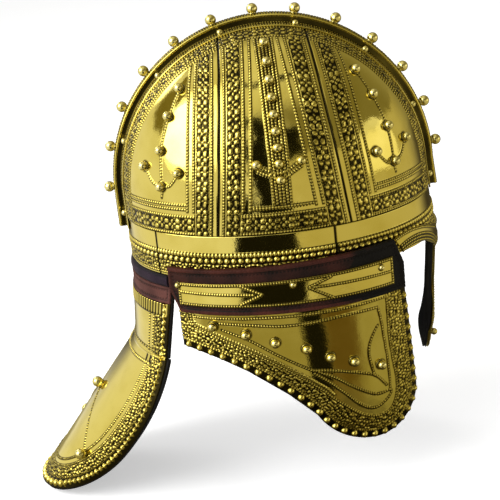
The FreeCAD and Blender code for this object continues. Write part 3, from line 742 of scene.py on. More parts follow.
def rim_relief(u, v, place):
    """A row of tall beads under a polished strip, then drops and pellets over a dark ground."""
    along = run_length(place, 1)
    height = place[..., 2]
    tall = bead_row((height - TALL_ROW) * 0.72, along, 2.7, 1.3, 1.1)
    ground = np.clip((height - GROUND_FOOT) / 0.4, 0, 1) * within(height, GROUND_TOP)
    drops = bead_row(height - DROP_ROW, along + 0.6, 4.9, 2.0, 1.3)
    pellets = rough_ground(along, height, 0.7) * within(height, PELLET_TOP)
    foot_row = bead_row(height - FOOT_ROW, along)
    rise = np.maximum.reduce([tall, np.maximum(drops, 0.85 * pellets) * ground, foot_row])
    # The tall beads stand in a band of painted shade, like the row at the foot
    hollow = np.maximum.reduce([within(abs(height - TALL_ROW + 0.2), 2.2), ground,
                                bead_shadow(height - FOOT_ROW)])
    joint = np.maximum(within(along, 0.9, 0.5), within(along[:, -1:] - along, 0.9, 0.5))
    rise = rise * (1 - joint)
    hollow = np.maximum(hollow, joint)
    return rise + beaten(place) * (1 - hollow), darkness(rise, hollow)


side_strip = rim_strip((FRONT_JOINT, False), (REAR_JOINT, False))
rim_pieces = {
    "rim_band_right": (side_strip, 250, False),
    "rim_band_left": (side_strip, 250, True),
    "rim_band_rear": (rim_strip((REAR_JOINT - 0.3, False), (REAR_JOINT - 0.3, True)), 230, False),
    "rim_band_front": (rim_strip((FRONT_JOINT + 0.3, True), (FRONT_JOINT + 0.3, False)), 420, False),
}
for node, (shape, columns, mirrored) in rim_pieces.items():
    strip = sheet_piece(node + "_embossed", shape, rim_relief, columns, 64, SHEET, mirror=mirrored)
    dress(strip, sheet_brass, "sheet_brass", "bowl", node)


# Ridge: one hat-shaped brass strip over the joint of the two halves of the bowl, from the back
# over the crown to the brow. It is beaded and punched, and its flanges are riveted down.
RIDGE_HALF, RIDGE_RISE, RIDGE_CROWN, RIDGE_SHEET = 5.0, 6.0, 0.8, 0.8
RIDGE_SEAT = BOWL_LENGTH + 0.1
RIDGE_REAR, RIDGE_FRONT = CROWN_HEIGHT - 23.0, CROWN_HEIGHT - 29.0
RIDGE_TURN = math.pi * RIDGE_SEAT


def rounded(corners, radius, count=6):
    """An open line of corners with each inner corner replaced by a rounding curve."""
    corners = np.asarray(corners, float)
    line = [corners[0]]
    for before, corner, after in zip(corners, corners[1:], corners[2:]):
        first = corner + unit(before - corner) * radius
        last = corner + unit(after - corner) * radius
        for share in np.linspace(0, 1, count):
            line.append(first * (1 - share) ** 2 + corner * 2 * share * (1 - share) + last * share ** 2)
    return np.array(line + [corners[-1]])


def line_lengths(line):
    """Length from the start of a line to each of its points."""
    return np.concatenate([[0], np.cumsum(np.linalg.norm(np.diff(line, axis=0), axis=1))])


def on_line(line, share):
    """Places at shares of the length of a line."""
    lengths = line_lengths(line)
    return np.stack([np.interp(share * lengths[-1], lengths, line[:, i])
                     for i in range(line.shape[1])], -1)


def flange_rise(y):
    """Height of the flange's upper face at a distance from the middle, over the seat's circle."""
    return BOWL_LENGTH * math.sqrt(1 - (y / BOWL_WIDTH) ** 2) - BOWL_LENGTH + 1.0


ridge_side = [(-FLANGE_EDGE, flange_rise(FLANGE_EDGE)), (-RIDGE_HALF, flange_rise(RIDGE_HALF)),
              (-RIDGE_HALF, RIDGE_RISE), (0, RIDGE_RISE + RIDGE_CROWN)]
ridge_profile = rounded(ridge_side + [(-y, r) for y, r in ridge_side[-2::-1]], 0.9)
ridge_width = line_lengths(ridge_profile)[-1]


def ridge_shape(u, v):
    """The profile carried up the back, turned over the crown and carried down the brow."""
    across = on_line(ridge_profile, u)
    travel = (RIDGE_REAR + RIDGE_TURN + RIDGE_FRONT) * v - RIDGE_REAR
    turn = np.clip(travel, 0, RIDGE_TURN) / RIDGE_SEAT
    drop = np.maximum(-travel, travel - RIDGE_TURN).clip(0)
    side = np.where(travel < 0, -1, 1)
    growth, shift = spread_at(CROWN_HEIGHT - drop)
    radius = RIDGE_SEAT + across[..., 1]
    x = -radius * np.cos(turn) + np.where(drop > 0, shift + side * BOWL_LENGTH * (growth - 1), 0)
    return np.stack([x, across[..., 0], CROWN_HEIGHT + radius * np.sin(turn) - drop], -1)


# Bead rows of the ridge by distance from its middle line and from the flange's edge, and the
# pitch, radius and rise of their fine beads
CREST_ROW, FLANGE_ROWS, FINE_BEADS = 3.6, (3.0, 8.4), (1.9, 0.85, 0.6)
# Places of the rounded lips, and how dark the painted shade on the upright walls is
LIP_ACROSS, LIP_EDGE, WALL_SHADE = 5.4, 0.9, 0.92


def ridge_relief(u, v, place):
    """Bead rows and pellets on the crest and the flanges, rounded lips and painted shade on the walls."""
    across = abs(u - 0.5) * ridge_width
    along = (RIDGE_REAR + RIDGE_TURN + RIDGE_FRONT) * v
    edge = ridge_width / 2 - across
    rows = [bead_row(across - CREST_ROW, along, *FINE_BEADS)]
    rows += [bead_row(edge - row, along, *FINE_BEADS) for row in FLANGE_ROWS]
    struck = np.maximum(within(across, 2.6), within(abs(edge - 5.7), 1.8))
    height = np.maximum.reduce(rows + [0.5 * scatter(along, across, 1.9, 0.7) * struck])
    hollow = np.maximum(within(across, 4.7), np.clip((edge - 2.0) / 0.3, 0, 1) * within(edge, 9.5))
    lips = np.clip(1 - ((across - LIP_ACROSS) / 0.6) ** 2, 0, None)
    lips = lips + np.clip(1 - ((edge - LIP_EDGE) / 0.8) ** 2, 0, None)
    wall = np.clip((across - 6.1) / 0.4, 0, 1) * within(across, 10.4)
    return height + 0.35 * lips, np.maximum(darkness(height, hollow, 0.5), wall * WALL_SHADE)


ridge = sheet_piece("ridge_chased", ridge_shape, ridge_relief, 106, 720, RIDGE_SHEET, back_columns=25)
dress(ridge, sheet_brass, "sheet_brass", "bowl", "ridge")


# Ridge balls and rivets: thirteen turned brass balls stand in a row on the crest, and eight
# round-headed rivets hold each flange down to the bowl.
def ridge_spot(angle, radius, y):
    """Place on the ridge and the direction square to it; the angle starts level at the back."""
    turn = math.radians(angle)
    outward = np.array([-math.cos(turn), 0, math.sin(turn)])
    aside = np.array([0, y * BOWL_LENGTH / BOWL_WIDTH ** 2, 0])
    if outward[2] >= 0:
        return outward * radius + [0, y, CROWN_HEIGHT], unit(outward + aside)
    side = math.copysign(1, outward[0])
    height = CROWN_HEIGHT + radius * outward[2]
    growth, shift = spread_at(height)
    x = side * radius + shift + side * BOWL_LENGTH * (growth - 1)
    return np.array([x, y, height]), unit(np.array([side, 0, 0]) + aside)


crest_head = ball_head(collar=2.6, ball=3.9, rise=7.3)
crest_seat = RIDGE_SEAT + RIDGE_RISE + RIDGE_CROWN - 0.1
crest_spots = [ridge_spot(angle, crest_seat, 0) for angle in np.linspace(1.6, 174.5, 13)]
dress(heads_piece("ridge_balls_turned", crest_spots, crest_head), stud_brass, "stud_brass", "bowl",
      "ridge_balls")
FLANGE_RIVETS = 10.4
flange_head = ball_head(collar=2.7, ball=2.3, rise=3.2)
flange_seat = RIDGE_SEAT + flange_rise(FLANGE_RIVETS)
flange_spots = [ridge_spot(angle, flange_seat, -FLANGE_RIVETS) for angle in np.linspace(-7.6, 185.6, 8)]
head_pair("ridge_rivets", "domed", flange_spots, flange_head)


# Leather: a padded roll under the back of the rim, and over each ear a band with rolled edges
# that is sewn to the lining of the rim and carries the cheek guard.
def leather(name, colour, dark, sheen, front=1.0):
    """Dyed leather with a fine pebbled grain, darkened by painted shade in its creases and in front of a
    place.
    """
    material, tree, shader = start_material(name)
    shade = Shade(tree)
    where = shade.add("ShaderNodeTexCoord", output=3)
    hollow = shade.add("ShaderNodeAttribute", {"attribute_name": "hollow"}, output=2)
    stains = shade.add("ShaderNodeTexNoise", None, {"Vector": where, "Scale": 45.0, "Detail": 6.0})
    pebbles = shade.add("ShaderNodeTexVoronoi", None, {"Vector": where, "Scale": 900.0})
    parts = shade.add("ShaderNodeSeparateXYZ", None, {0: where})
    # Painted shade: the leather turns black in front of a place
    shaded_front = (parts + stains * 0.04).between(front, front + 0.03)
    worn_and_shaded = (stains.between(0.3, 0.7) * 0.6 + hollow + shaded_front).math("MINIMUM", 1.0)
    plug(shader, "Base Color", worn_and_shaded.mix(colour, dark))
    plug(shader, "Roughness", stains * 0.3 + sheen)
    plug(shader, "Specular IOR Level", 0.12)
    bump = shade.add("ShaderNodeBump", None, {"Strength": 0.35, "Distance": 0.0003, "Height": pebbles})
    plug(shader, "Normal", bump)
    return material


band_leather = leather("band_leather", (0.058, 0.013, 0.007), (0.005, 0.004, 0.003), 0.5, 0.05)
roll_leather = leather("roll_leather", (0.026, 0.012, 0.025), (0.005, 0.003, 0.006), 0.45)
neck_leather = leather("neck_leather", (0.100, 0.034, 0.026), (0.028, 0.010, 0.008), 0.48)
lining_leather = leather("lining_leather", (0.012, 0.011, 0.010), (0.005, 0.005, 0.005), 0.45)


def wall_place(x, z, offset=0.0):
    """Place on an upright sheet round the right of the rim, from where it is seen from the side.

    The level section is an ellipse, so the distance to the right is its half width times the root
    of 1 less the squared share of its half length."""
    growth, shift = spread_at(0.0)
    share = (x - shift) / ((BOWL_LENGTH + offset) * growth)
    y = -(BOWL_WIDTH + offset) * growth * np.sqrt(np.clip(1 - share ** 2, 0, None))
    return np.stack([x + 0 * z, y + 0 * z, z + 0 * x], -1)


def patch(lower, upper, rear, front):
    """Flat sheet between four edge lines: each place is blended from the opposite edges."""
    lower, upper, rear, front = (np.asarray(line, float) for line in (lower, upper, rear, front))

    def shape(u, v):
        u, v = np.clip(u, 0, 1)[..., None], np.clip(v, 0, 1)[..., None]
        level = on_line(lower, u[..., 0]) * (1 - v) + on_line(upper, u[..., 0]) * v
        upright = on_line(rear, v[..., 0]) * (1 - u) + on_line(front, v[..., 0]) * u
        corners = ((lower[0] * (1 - u) + lower[-1] * u) * (1 - v)
                   + (upper[0] * (1 - u) + upper[-1] * u) * v)
        return level + upright - corners
    return shape


def on_wall(flat, offset):
    """A flat side-view sheet laid on the wall over the ear."""
    def shape(u, v):
        spot = flat(u, v)
        return wall_place(spot[..., 0], spot[..., 1], offset)
    return shape


def edge_of(shape, sides="lurf", count=60):
    """Lines of places along the edges of a sheet: lower, upper, rear and front."""
    share = np.linspace(0, 1, count)
    none, full = np.zeros(count), np.ones(count)
    edges = {"l": (share, none), "u": (share, full), "r": (none, share), "f": (full, share)}
    return [shape(*edges[side]) for side in sides]


def from_edges(place, edges):
    """Distance from the nearest of a few lines, and the place along it."""
    best, best_along = np.full(place.shape[:-1], 1e9), np.zeros(place.shape[:-1])
    for edge in edges:
        gap, along = nearest(place, edge)
        best_along = np.where(gap < best, along, best_along)
        best = np.minimum(best, gap)
    return best, best_along


def sewn_relief(shape, roll=3.2, rise=0.9, stitch=4.6, sides="lurf", inner=0.4):
    """A rolled border along the edges, a line of stitch holes and a darker middle inside it.

    The border bulges as half an ellipse, and sines along it give its wrinkles."""
    edges = edge_of(shape, sides)

    def relief(u, v, place):
        away, along = from_edges(place, edges)
        bulge = rise * np.sqrt(np.clip(1 - ((away - roll / 2) / (roll / 2)) ** 2, 0, None))
        holes = -0.5 * bead_row(away - stitch, along, 2.6, 0.7, 1.0)
        # Painted shade in the crease inside the roll; the middle is darker as well
        crease = np.maximum(np.clip(1 - abs(away - roll) / 0.7, 0, 1), inner * (away > roll))
        wrinkles = 0.12 * np.sin(along * 1.7 + 2 * np.sin(along * 0.4)) * (away < roll)
        return bulge + holes + wrinkles, np.maximum(crease, -holes * 2) * 0.9
    return relief


def sheet_pair(node, finish, shape, relief, grid, thickness, material, slot, part, **options):
    """The same sheet on the right and the left, riding its own side's body."""
    for hand, mirrored in hands:
        piece = sheet_piece(node + "_" + hand + "_" + finish, shape, relief, *grid, thickness,
                            mirror=mirrored, **options)
        dress(piece, material, slot, hand + "_" + part, node + "_" + hand)


BAND_OUT = 3.0
band_flat = patch([(-77, -24.5), (80.5, -24.5)], [(-83, 7.5), (74.2, 12.5)],
                  [(-77, -24.5), (-83, -8.5), (-83, 7.5)], [(80.5, -24.5), (80.5, -6), (74.2, 12.5)])
band_shape = on_wall(band_flat, BAND_OUT)
sheet_pair("hinge_leather", "sewn", band_shape, sewn_relief(band_shape), (240, 60), 2.2,
           band_leather, "band_leather", "band")

ROLL_REAR, ROLL_FOOT, ROLL_HEIGHT, ROLL_BULGE = -83.0, -9.0, 8.9, 2.0


def roll_shape(u, v):
    """Level arcs round the back of the rim, from one leather band to the other."""
    growth, shift = spread_at(0.0)
    far = math.pi - math.acos((ROLL_REAR - shift) / (BOWL_LENGTH * growth))
    angle = math.pi + far * (1 - 2 * u)
    return np.stack([shift + (BOWL_LENGTH + 0.2) * growth * np.cos(angle),
                     (BOWL_WIDTH + 0.2) * growth * np.sin(angle), ROLL_FOOT + ROLL_HEIGHT * v], -1)


def roll_relief(u, v, place):
    """A bulge as half an ellipse over the height, slight wrinkles by sines, painted shade at upper and
    lower edges.
    """
    along = run_length(place, 1)
    bulge = ROLL_BULGE * np.sqrt(np.clip(1 - (2 * v - 1) ** 2, 0, None))
    wrinkles = 0.25 * np.sin(along / 2.3 + np.sin(along / 7)) * np.sin(math.pi * v)
    return bulge + wrinkles * 0.5, np.clip(abs(2 * v - 1) * 1.6 - 0.8, 0, 1)


roll = sheet_piece("rim_roll_padded", roll_shape, roll_relief, 150, 20, 3.6)
dress(roll, roll_leather, "band_leather", "bowl", "rim_roll")


# Strap plates: a long brass plate riveted on each leather band, beaded round its edges and
# with two beaded arrows that point at each other.
STRAP_OUT = 4.1
strap_flat = patch([(-77, -18.6), (72, -18.6)], [(-77, -2.2), (72, 1.2)],
                   [(-77, -18.6), (-77, -2.2)], [(72, -18.6), (72, 1.2)])
strap_shape = on_wall(strap_flat, STRAP_OUT)

STRAP_ROW = 1.2
strap_lines = []
for points in ([(-75.5, -8.7), (-26.0, -9.4)], [(-35.0, -2.6), (-20.0, -9.4), (-35.6, -16.6)],
               [(27.5, -1.8), (11.3, -7.4), (28.0, -17.2)], [(14.0, -7.6), (70.5, -8.8)]):
    line = on_line(np.array(points), np.linspace(0, 1, 40))
    strap_lines.append(wall_place(line[:, 0], line[:, 1], STRAP_OUT))


def strap_relief(u, v, place):
    """Fine beads round the edges and along the arrows."""
    away, along = from_edges(place, edge_of(strap_shape))
    height = bead_row(away - STRAP_ROW, along, *FINE_BEADS)
    lined, hollow = beaded_lines(place, strap_lines, FINE_BEADS[0])
    hollow = np.maximum(hollow, bead_shadow(away - STRAP_ROW))
    height = np.maximum(height, lined * 0.85)
    return height + beaten(place) * 0.8 * (1 - hollow), darkness(height, hollow, 0.6)


sheet_pair("strap_plate", "chased", strap_shape, strap_relief, (330, 46), 0.9, sheet_brass,
           "sheet_brass", "band")


def wall_spot(x, z, offset):
    """Place and level direction square to the wall over the ear."""
    growth, shift = spread_at(0.0)
    share = (x - shift) / (BOWL_LENGTH * growth)
    normal = unit(np.array([share * BOWL_WIDTH, -math.sqrt(1 - share ** 2) * BOWL_LENGTH, 0]))
    return wall_place(np.float64(x), np.float64(z)) + normal * offset, normal


STRAP_REAR, STRAP_LENGTH, RIVET_LEVEL = -77, 149, -4.1
strap_spots = [wall_spot(STRAP_REAR + STRAP_LENGTH * share, RIVET_LEVEL, STRAP_OUT)
               for share in (0.02, 0.524, 0.927)]
head_pair("strap_rivets", "domed", strap_spots, ball_head(collar=2.6, ball=2.1, rise=2.6), "band")


# Cheek guards: brass plates that lean in to the jaw, chased with relief borders and beaded
# lines, edged with balls and lined with black leather; seven ball studs cross each one.
CHEEK_TOP, CHEEK_LEAN = -17.5, math.tan(math.radians(7))
CHEEK_OUT, LINING_OUT = 0.2, -0.9


def cheek_place(x, z, offset=CHEEK_OUT):
    """Place on the cheek guard, which leaves the wall below its top and leans in by an angle."""
    spot = wall_place(x, z, offset)
    spot[..., 1] += np.clip(CHEEK_TOP - spot[..., 2], 0, None) * CHEEK_LEAN
    return spot


def arcs(points, count=14):
    """Circular arcs through each three points in turn."""
    points = np.asarray(points, float)
    line = [points[:1]]
    for a, b, c in zip(points[:-2:2], points[1:-1:2], points[2::2]):
        rows = np.array([b - a, c - a])
        centre = a + np.linalg.solve(rows, np.sum(rows ** 2, -1) / 2)
        turns = np.unwrap(np.arctan2(*(np.array([a, b, c]) - centre).T[::-1]))
        turn = np.linspace(turns[0], turns[2], count)[1:]
        line.append(centre + np.linalg.norm(a - centre) * np.stack([np.cos(turn), np.sin(turn)], -1))
    return np.concatenate(line)


cheek_edge = arcs([(-78.0, -52.7), (-32.7, -71.0), (10.2, -108.9), (28.9, -129.1), (49.9, -137.0),
                   (76.2, -129.5), (86.0, -104.1), (84.0, -72.1), (79.8, -17.5)])
cheek_corner = int(np.argmin(np.hypot(*(cheek_edge - [79.0, -124.0]).T)))


def cheek_flat(inset):
    """The cheek guard's outline as four edges, moved inward by an inset."""
    steps = np.gradient(cheek_edge, axis=0)
    inward = unit(np.stack([-steps[:, 1], steps[:, 0]], -1))
    edge = cheek_edge + inward * inset
    edge[0] = (-78.0 + inset, -52.7 + inset * 1.2)
    top = CHEEK_TOP - inset
    edge[-1] = (79.8 - inset, top)
    return patch(edge[:cheek_corner + 1], [(-78.0 + inset, top), edge[-1]],
                 [edge[0], (-78.0 + inset, top)], edge[cheek_corner:])


def on_cheek(flat, offset):
    """A flat side-view sheet laid on the cheek guard."""
    def shape(u, v):
        spot = flat(u, v)
        return cheek_place(spot[..., 0], spot[..., 1], offset)
    return shape


cheek_shape = on_cheek(cheek_flat(0), CHEEK_OUT)


def cheek_line(points, count=30):
    """A curve of side-view points laid on the cheek guard."""
    line = smooth_line(points, count)
    return cheek_place(line[:, 0], line[:, 1])


top_line = on_line(np.array([(-68, -28.6), (-9.6, -28.5), (30.1, -28.8), (68, -28.0)]),
                   np.linspace(0, 1, 30))
cheek_lines = [
    cheek_place(top_line[:, 0], top_line[:, 1]),
    cheek_line([(-52, -32.5), (-30.5, -33.6), (-10.2, -35.6), (10, -35.4), (37.9, -34.1),
                (58.9, -34.2)]),
    cheek_line([(58.9, -34.2), (60.8, -45.2), (62.2, -59.3), (63.7, -73.7), (64.6, -88.1),
                (64.8, -101.4)]),
    cheek_line([(58, -48.0), (53.2, -56.3), (50.6, -64.7), (50.9, -74), (53.6, -87)], 24),
    cheek_line([(9, -72.7), (22.7, -75.2), (34.9, -78.8), (49.8, -84.4), (55.7, -88.6),
                (62.3, -97.7)]),
    cheek_line([(13, -74.3), (24.8, -81.2), (35.8, -90.2), (46.4, -97.9), (54.9, -102.5),
                (64, -102.3)]),
    cheek_line([(9.7, -74.7), (20.5, -84), (30.5, -94.6), (40, -105.5), (48.2, -111.7),
                (56.1, -112.5), (64.8, -106.0), (64.8, -101.4)], 40),
    cheek_line([(-50, -37.5), (-32, -45.4), (-13.8, -57.8), (9, -72.7)]),
]
cheek_outline = cheek_place(cheek_edge[:, 0], cheek_edge[:, 1])

# The inner beaded line, round the front, the foot and up the slanting edge, then up the back
cheek_loop = np.concatenate([
    smooth_line([(65.6, -17.5), (66, -47), (66.2, -60.7), (68.2, -80.2), (70.1, -95.1), (69, -108.9),
                 (63.8, -118.4), (53.8, -120.4), (42.8, -115.9), (33, -107.5), (21.3, -96.3),
                 (15, -89.1), (-6.2, -71.7), (-22.8, -60.3), (-39.5, -50.9), (-57.9, -41.7)], 90),
    smooth_line([(-62, -39.5), (-68.5, -36.0), (-70.5, -31.0), (-70.5, -17.5)], 16)])


def enclosed(x, z, loop):
    """Whether side-view places lie inside a closed line, which is crossed an odd number of times."""
    crossings = np.zeros(x.shape, bool)
    for (x0, z0), (x1, z1) in zip(loop, np.roll(loop, -1, axis=0)):
        if z0 != z1:
            crossings ^= ((z0 > z) != (z1 > z)) & (x < x0 + (x1 - x0) * (z - z0) / (z1 - z0))
    return crossings


CHEEK_REAR, CHEEK_LENGTH, CHEEK_DROP = -78, 164, 137
cheek_spots = []
for x_share, drop_share in [(0.137, 0.252), (0.27, 0.296), (0.388, 0.348), (0.516, 0.4),
                            (0.613, 0.467), (0.714, 0.519), (0.832, 0.58)]:
    x, z = CHEEK_REAR + CHEEK_LENGTH * x_share, -CHEEK_DROP * drop_share
    place, normal = wall_spot(x, z, CHEEK_OUT + 0.1)
    place[1] += (CHEEK_TOP - z) * CHEEK_LEAN
    normal[2] = normal[1] * CHEEK_LEAN
    cheek_spots.append((place, unit(normal)))


# Distances of the balls, the bead row and the ground from the outline, and of the second row
# from the inner line, which it follows up the slanting edge only
BALL_AWAY, ROW_AWAY, GROUND_AWAY, SECOND_AWAY = 2.5, 5.9, 6.8, 2.6
SECOND_LOW, SECOND_FRONT = -95, 30


def cheek_relief(u, v, place):
    """Balls and a rough ground between the outline and an inner line, and beaded lines in that."""
    away, along = nearest(place, cheek_outline)
    inner, inner_along = nearest(place, cheek_place(cheek_loop[:, 0], cheek_loop[:, 1]))
    outside = ~enclosed(place[..., 0], place[..., 2], cheek_loop)
    ground = outside * np.clip((inner - 1.1) / 0.5, 0, 1) * np.clip((away - GROUND_AWAY) / 0.5, 0, 1)
    lined, lined_hollow = beaded_lines(place, cheek_lines)
    slanting = ~outside * (place[..., 2] > SECOND_LOW) * (place[..., 0] < SECOND_FRONT)
    second = bead_row(inner - SECOND_AWAY, inner_along) * slanting
    height = np.maximum.reduce([
        0.95 * rough_ground(along, away) * ground, lined, bead_row(inner, inner_along), second,
        bead_row(away - BALL_AWAY, along, 8.9, 2.5, 2.3), bead_row(away - ROW_AWAY, along)])
    hollow = np.maximum.reduce([
        ground, lined_hollow * ~outside, bead_shadow(inner), within(away, GROUND_AWAY),
        bead_shadow(inner - SECOND_AWAY) * (second > 0),
        shade_round(place, [spot for spot, _ in cheek_spots])])
    return height + beaten(place) * (1 - hollow), darkness(height, hollow)


CHEEK_GRID = (330, 170)
sheet_pair("cheek_plate", "chased", cheek_shape, cheek_relief, CHEEK_GRID, 1.0, sheet_brass,
           "sheet_brass", "cheek")
lining_shape = on_cheek(cheek_flat(1.0), LINING_OUT)


def plain(u, v, place):
    """A sheet without ornament."""
    return 0 * u, 0 * u


sheet_pair("cheek_lining", "leather", lining_shape, plain, (60, 30), 1.8, lining_leather,
           "lining_leather", "cheek", back_columns=60)

head_pair("cheek_studs", "turned", cheek_spots, ball_head(collar=3.9, ball=3.4, rise=5.2), "cheek")


# Neck guard: an upright brass plate and a flared tongue below it, lined with black leather and
# hung on a strip of red leather. The plates are chased and edged with balls and stars.

# Each station is a height, the reach behind the middle and the radius of the level arc there.
NECK_TOP, NECK_FOLD, NECK_END = (-9.3, 110.43, 73.0), (-62.5, 115.53, 89.0), (-169.3, 201.33, 45.7)
NECK_TOP_SIDE, NECK_FOLD_SIDE, NECK_LENGTH, NECK_DROP = -82.03, -92.33, 109.0, 106.8
STRIP_FOOT, LINING_FOOT = -22.0, -62.4
neck_edge_line = arcs([(NECK_FOLD_SIDE - NECK_LENGTH * x, NECK_FOLD[0] - NECK_DROP * z) for x, z in
                       [(0, 0), (0.132, 0.333), (0.368, 0.688), (0.65, 0.91), (1, 1)]], 30)
neck_side = np.concatenate([[(NECK_TOP_SIDE, NECK_TOP[0])], neck_edge_line])


def neck_station(z):
    """Reach behind the middle and radius of the level arc at a height."""
    heights = [NECK_END[0], NECK_FOLD[0], NECK_TOP[0]]
    reach = np.interp(z, heights, [NECK_END[1], NECK_FOLD[1], NECK_TOP[1]])
    return reach, np.interp(z, heights, [NECK_END[2], NECK_FOLD[2], NECK_TOP[2]])


def neck_place(width, z, proud=0.0):
    """Place from the length along the level arc, to the left positive, and the height."""
    reach, radius = neck_station(z)
    turn = width / radius
    return np.stack([radius - reach - (radius - proud) * np.cos(turn),
                     (radius - proud) * np.sin(turn), z + 0 * turn], -1)


def neck_half_width(z):
    """Half length of the level arc that the side-view edge leaves at a height."""
    reach, radius = neck_station(z)
    edge = np.interp(-z, -neck_side[:, 1], neck_side[:, 0])
    return radius * np.arccos(np.clip((radius - reach - edge) / radius, -1, 1))


def neck_band(low, high, proud, more=0.0):
    """A level strip of the neck guard between two heights."""
    def shape(u, v):
        z = low + (high - low) * v
        return neck_place((neck_half_width(z) + more) * (2 * u - 1), z, proud)
    return shape


neck_strap_shape = neck_band(STRIP_FOOT, NECK_TOP[0], 0)
dress(sheet_piece("neck_hinge_leather_sewn", neck_strap_shape,
                  sewn_relief(neck_strap_shape, 2.4, 0.5, 3.4, inner=0.0),
                  160, 26, 1.2, back_columns=41),
      neck_leather, "band_leather", "neck_guard", "neck_hinge_leather")


def star_row(across, along, pitch, ball=1.9, star=3.3, rise=1.9):
    """Balls and four-pointed stars in turn along an edge, the stars' sides drawn in as curves."""
    step = ((along / pitch) % 1 - 0.5) * pitch
    other = ((along / pitch + 0.5) % 1 - 0.5) * pitch
    balls = np.clip(1 - (across ** 2 + step ** 2) / ball ** 2, 0, None) ** 0.6
    reach = (abs(across) / star) ** 0.72 + (abs(other) / star) ** 0.72
    return rise * np.maximum(balls, np.clip(2.0 * (1.0 - reach), 0, 1))


# Ornament by distance from the side edges: stars, ground and two bead rows; from the top: the
# fringe; and from the foot: two bead rows and a lip
UPPER_TOP, UPPER_FOOT = -22.3, -62.2
STAR_AWAY, STAR_PITCH, NECK_GROUND, UPPER_GROUND = 4.5, 9.4, 7.6, 14.5
FRINGE, FRINGE_PITCH, UPPER_ROWS, LOW_ROWS = 9.5, 3.3, (16.0, 21.0), (3.4, 6.2)


def neck_upper_relief(u, v, place):
    """A fringe of strokes at the top, a polished field, and a relief strip down each side."""
    half = neck_half_width(place[..., 2])
    side = half * (1 - abs(2 * u - 1))
    top, foot = UPPER_TOP - place[..., 2], place[..., 2] - UPPER_FOOT
    below = top > FRINGE
    stroke = abs(((half * (2 * u - 1) / FRINGE_PITCH) % 1) - 0.5) * FRINGE_PITCH
    fringe = 0.7 * np.clip(1 - (stroke / 1.2) ** 2, 0, None) * within(top, FRINGE - stroke * 2)
    fringe_dark = within(top, FRINGE + 0.5) * (1 - np.clip(fringe, 0, 1))
    ground = within(side, UPPER_GROUND) * np.clip((side - NECK_GROUND) / 0.4, 0, 1) * below
    rows = [bead_row(side - row, top) * below for row in UPPER_ROWS]
    rows += [bead_row(foot - LOW_ROWS[0], half * u, 2.0),
             bead_row(foot - LOW_ROWS[1], half * u, 2.0) * (side < UPPER_ROWS[0])]
    lip = 1.1 * np.clip(1 - (foot / 1.6) ** 2, 0, None)
    height = np.maximum.reduce(rows + [fringe, star_row(side - STAR_AWAY, top, STAR_PITCH),
                                       0.75 * rough_ground(top, side) * ground, lip])
    hollow = np.maximum.reduce([
        fringe_dark, ground, within(side, NECK_GROUND), bead_shadow(side - UPPER_ROWS[0]),
        bead_shadow(side - UPPER_ROWS[1]) * below, bead_shadow(foot - LOW_ROWS[0])])
    return height + beaten(place) * (1 - hollow), darkness(height, hollow) * (1 - within(foot, 1.2))


dress(sheet_piece("neck_upper_plate_chased", neck_band(UPPER_FOOT, UPPER_TOP, 0), neck_upper_relief,
                  270, 84, 1.1, back_columns=41),
      sheet_brass, "sheet_brass", "neck_guard", "neck_upper_plate")
dress(sheet_piece("neck_upper_lining_leather", neck_band(LINING_FOOT, NECK_TOP[0], 1.5, 1.0), plain,
                  61, 20, 2.3, back_columns=61),
      lining_leather, "lining_leather", "neck_guard", "neck_upper_lining")

# Heights of the tongue's edge points, close together near the tip, where the edge runs level
FLARE_STEPS, TIP_HEIGHT, TIP_DROP = 60, -150, 19.3
tip_turns = np.linspace(0, 1, 40) * math.pi / 2
flare_heights = np.concatenate([np.linspace(NECK_FOLD[0], TIP_HEIGHT, FLARE_STEPS),
                                TIP_HEIGHT - TIP_DROP * np.sin(tip_turns)])


def flare_flat(more=0.0):
    """The tongue unrolled: arc length to the left by height, in four edges."""
    right = np.stack([-neck_half_width(flare_heights), flare_heights], -1)
    if more:
        steps = np.gradient(right, axis=0)
        outward = unit(np.stack([steps[:, 1], -steps[:, 0]], -1))
        right = right + outward * more
        right[0, 1] = NECK_FOLD[0]
        right[-1, 0] = 0
    left = right * [-1, 1]
    lower = np.concatenate([right[FLARE_STEPS:], left[FLARE_STEPS:-1][::-1]])
    sides = [edge[:FLARE_STEPS + 1][::-1] for edge in (right, left)]
    return patch(lower, [right[0], left[0]], *sides)


def flare_shape(flat, proud):
    """The unrolled tongue bent onto the leaning cone."""
    def shape(u, v):
        spot = flat(u, v)
        return neck_place(spot[..., 0], spot[..., 1], proud)
    return shape


tongue = flare_shape(flare_flat(), 0.0)
tongue_outline = np.concatenate([edge[::turn] for edge, turn in
                                 zip(edge_of(tongue, "rlf", 90), (-1, 1, 1))])


def flare_spot(turn, share):
    """Place and direction of a ball, by its turn round the arc and its share down the tongue."""
    height, reach, radius = (a + (b - a) * share for a, b in zip(NECK_FOLD, NECK_END))
    lean = (NECK_END[1] - NECK_FOLD[1]) / (NECK_FOLD[0] - NECK_END[0])
    shrink = (NECK_FOLD[2] - NECK_END[2]) / (NECK_FOLD[0] - NECK_END[0])
    rise = lean * math.cos(turn) - shrink * (1 - math.cos(turn))
    normal = unit(np.array([-math.cos(turn), math.sin(turn), rise]))
    return neck_place(np.float64(radius * turn), np.float64(height)) + normal * 0.1, normal


BALL_TURN, FIRST_BALL, BALL_STEP = 0.72, 0.36, 0.36
flare_spots = [flare_spot(0, FIRST_BALL)]
flare_spots += [flare_spot(side * BALL_TURN, FIRST_BALL + BALL_STEP) for side in (-1, 1)]
flare_lines = [np.array([flare_spot(side * BALL_TURN * share, FIRST_BALL + BALL_STEP * share)[0]
                         for share in np.linspace(0, 1, 20)]) for side in (-1, 1)]

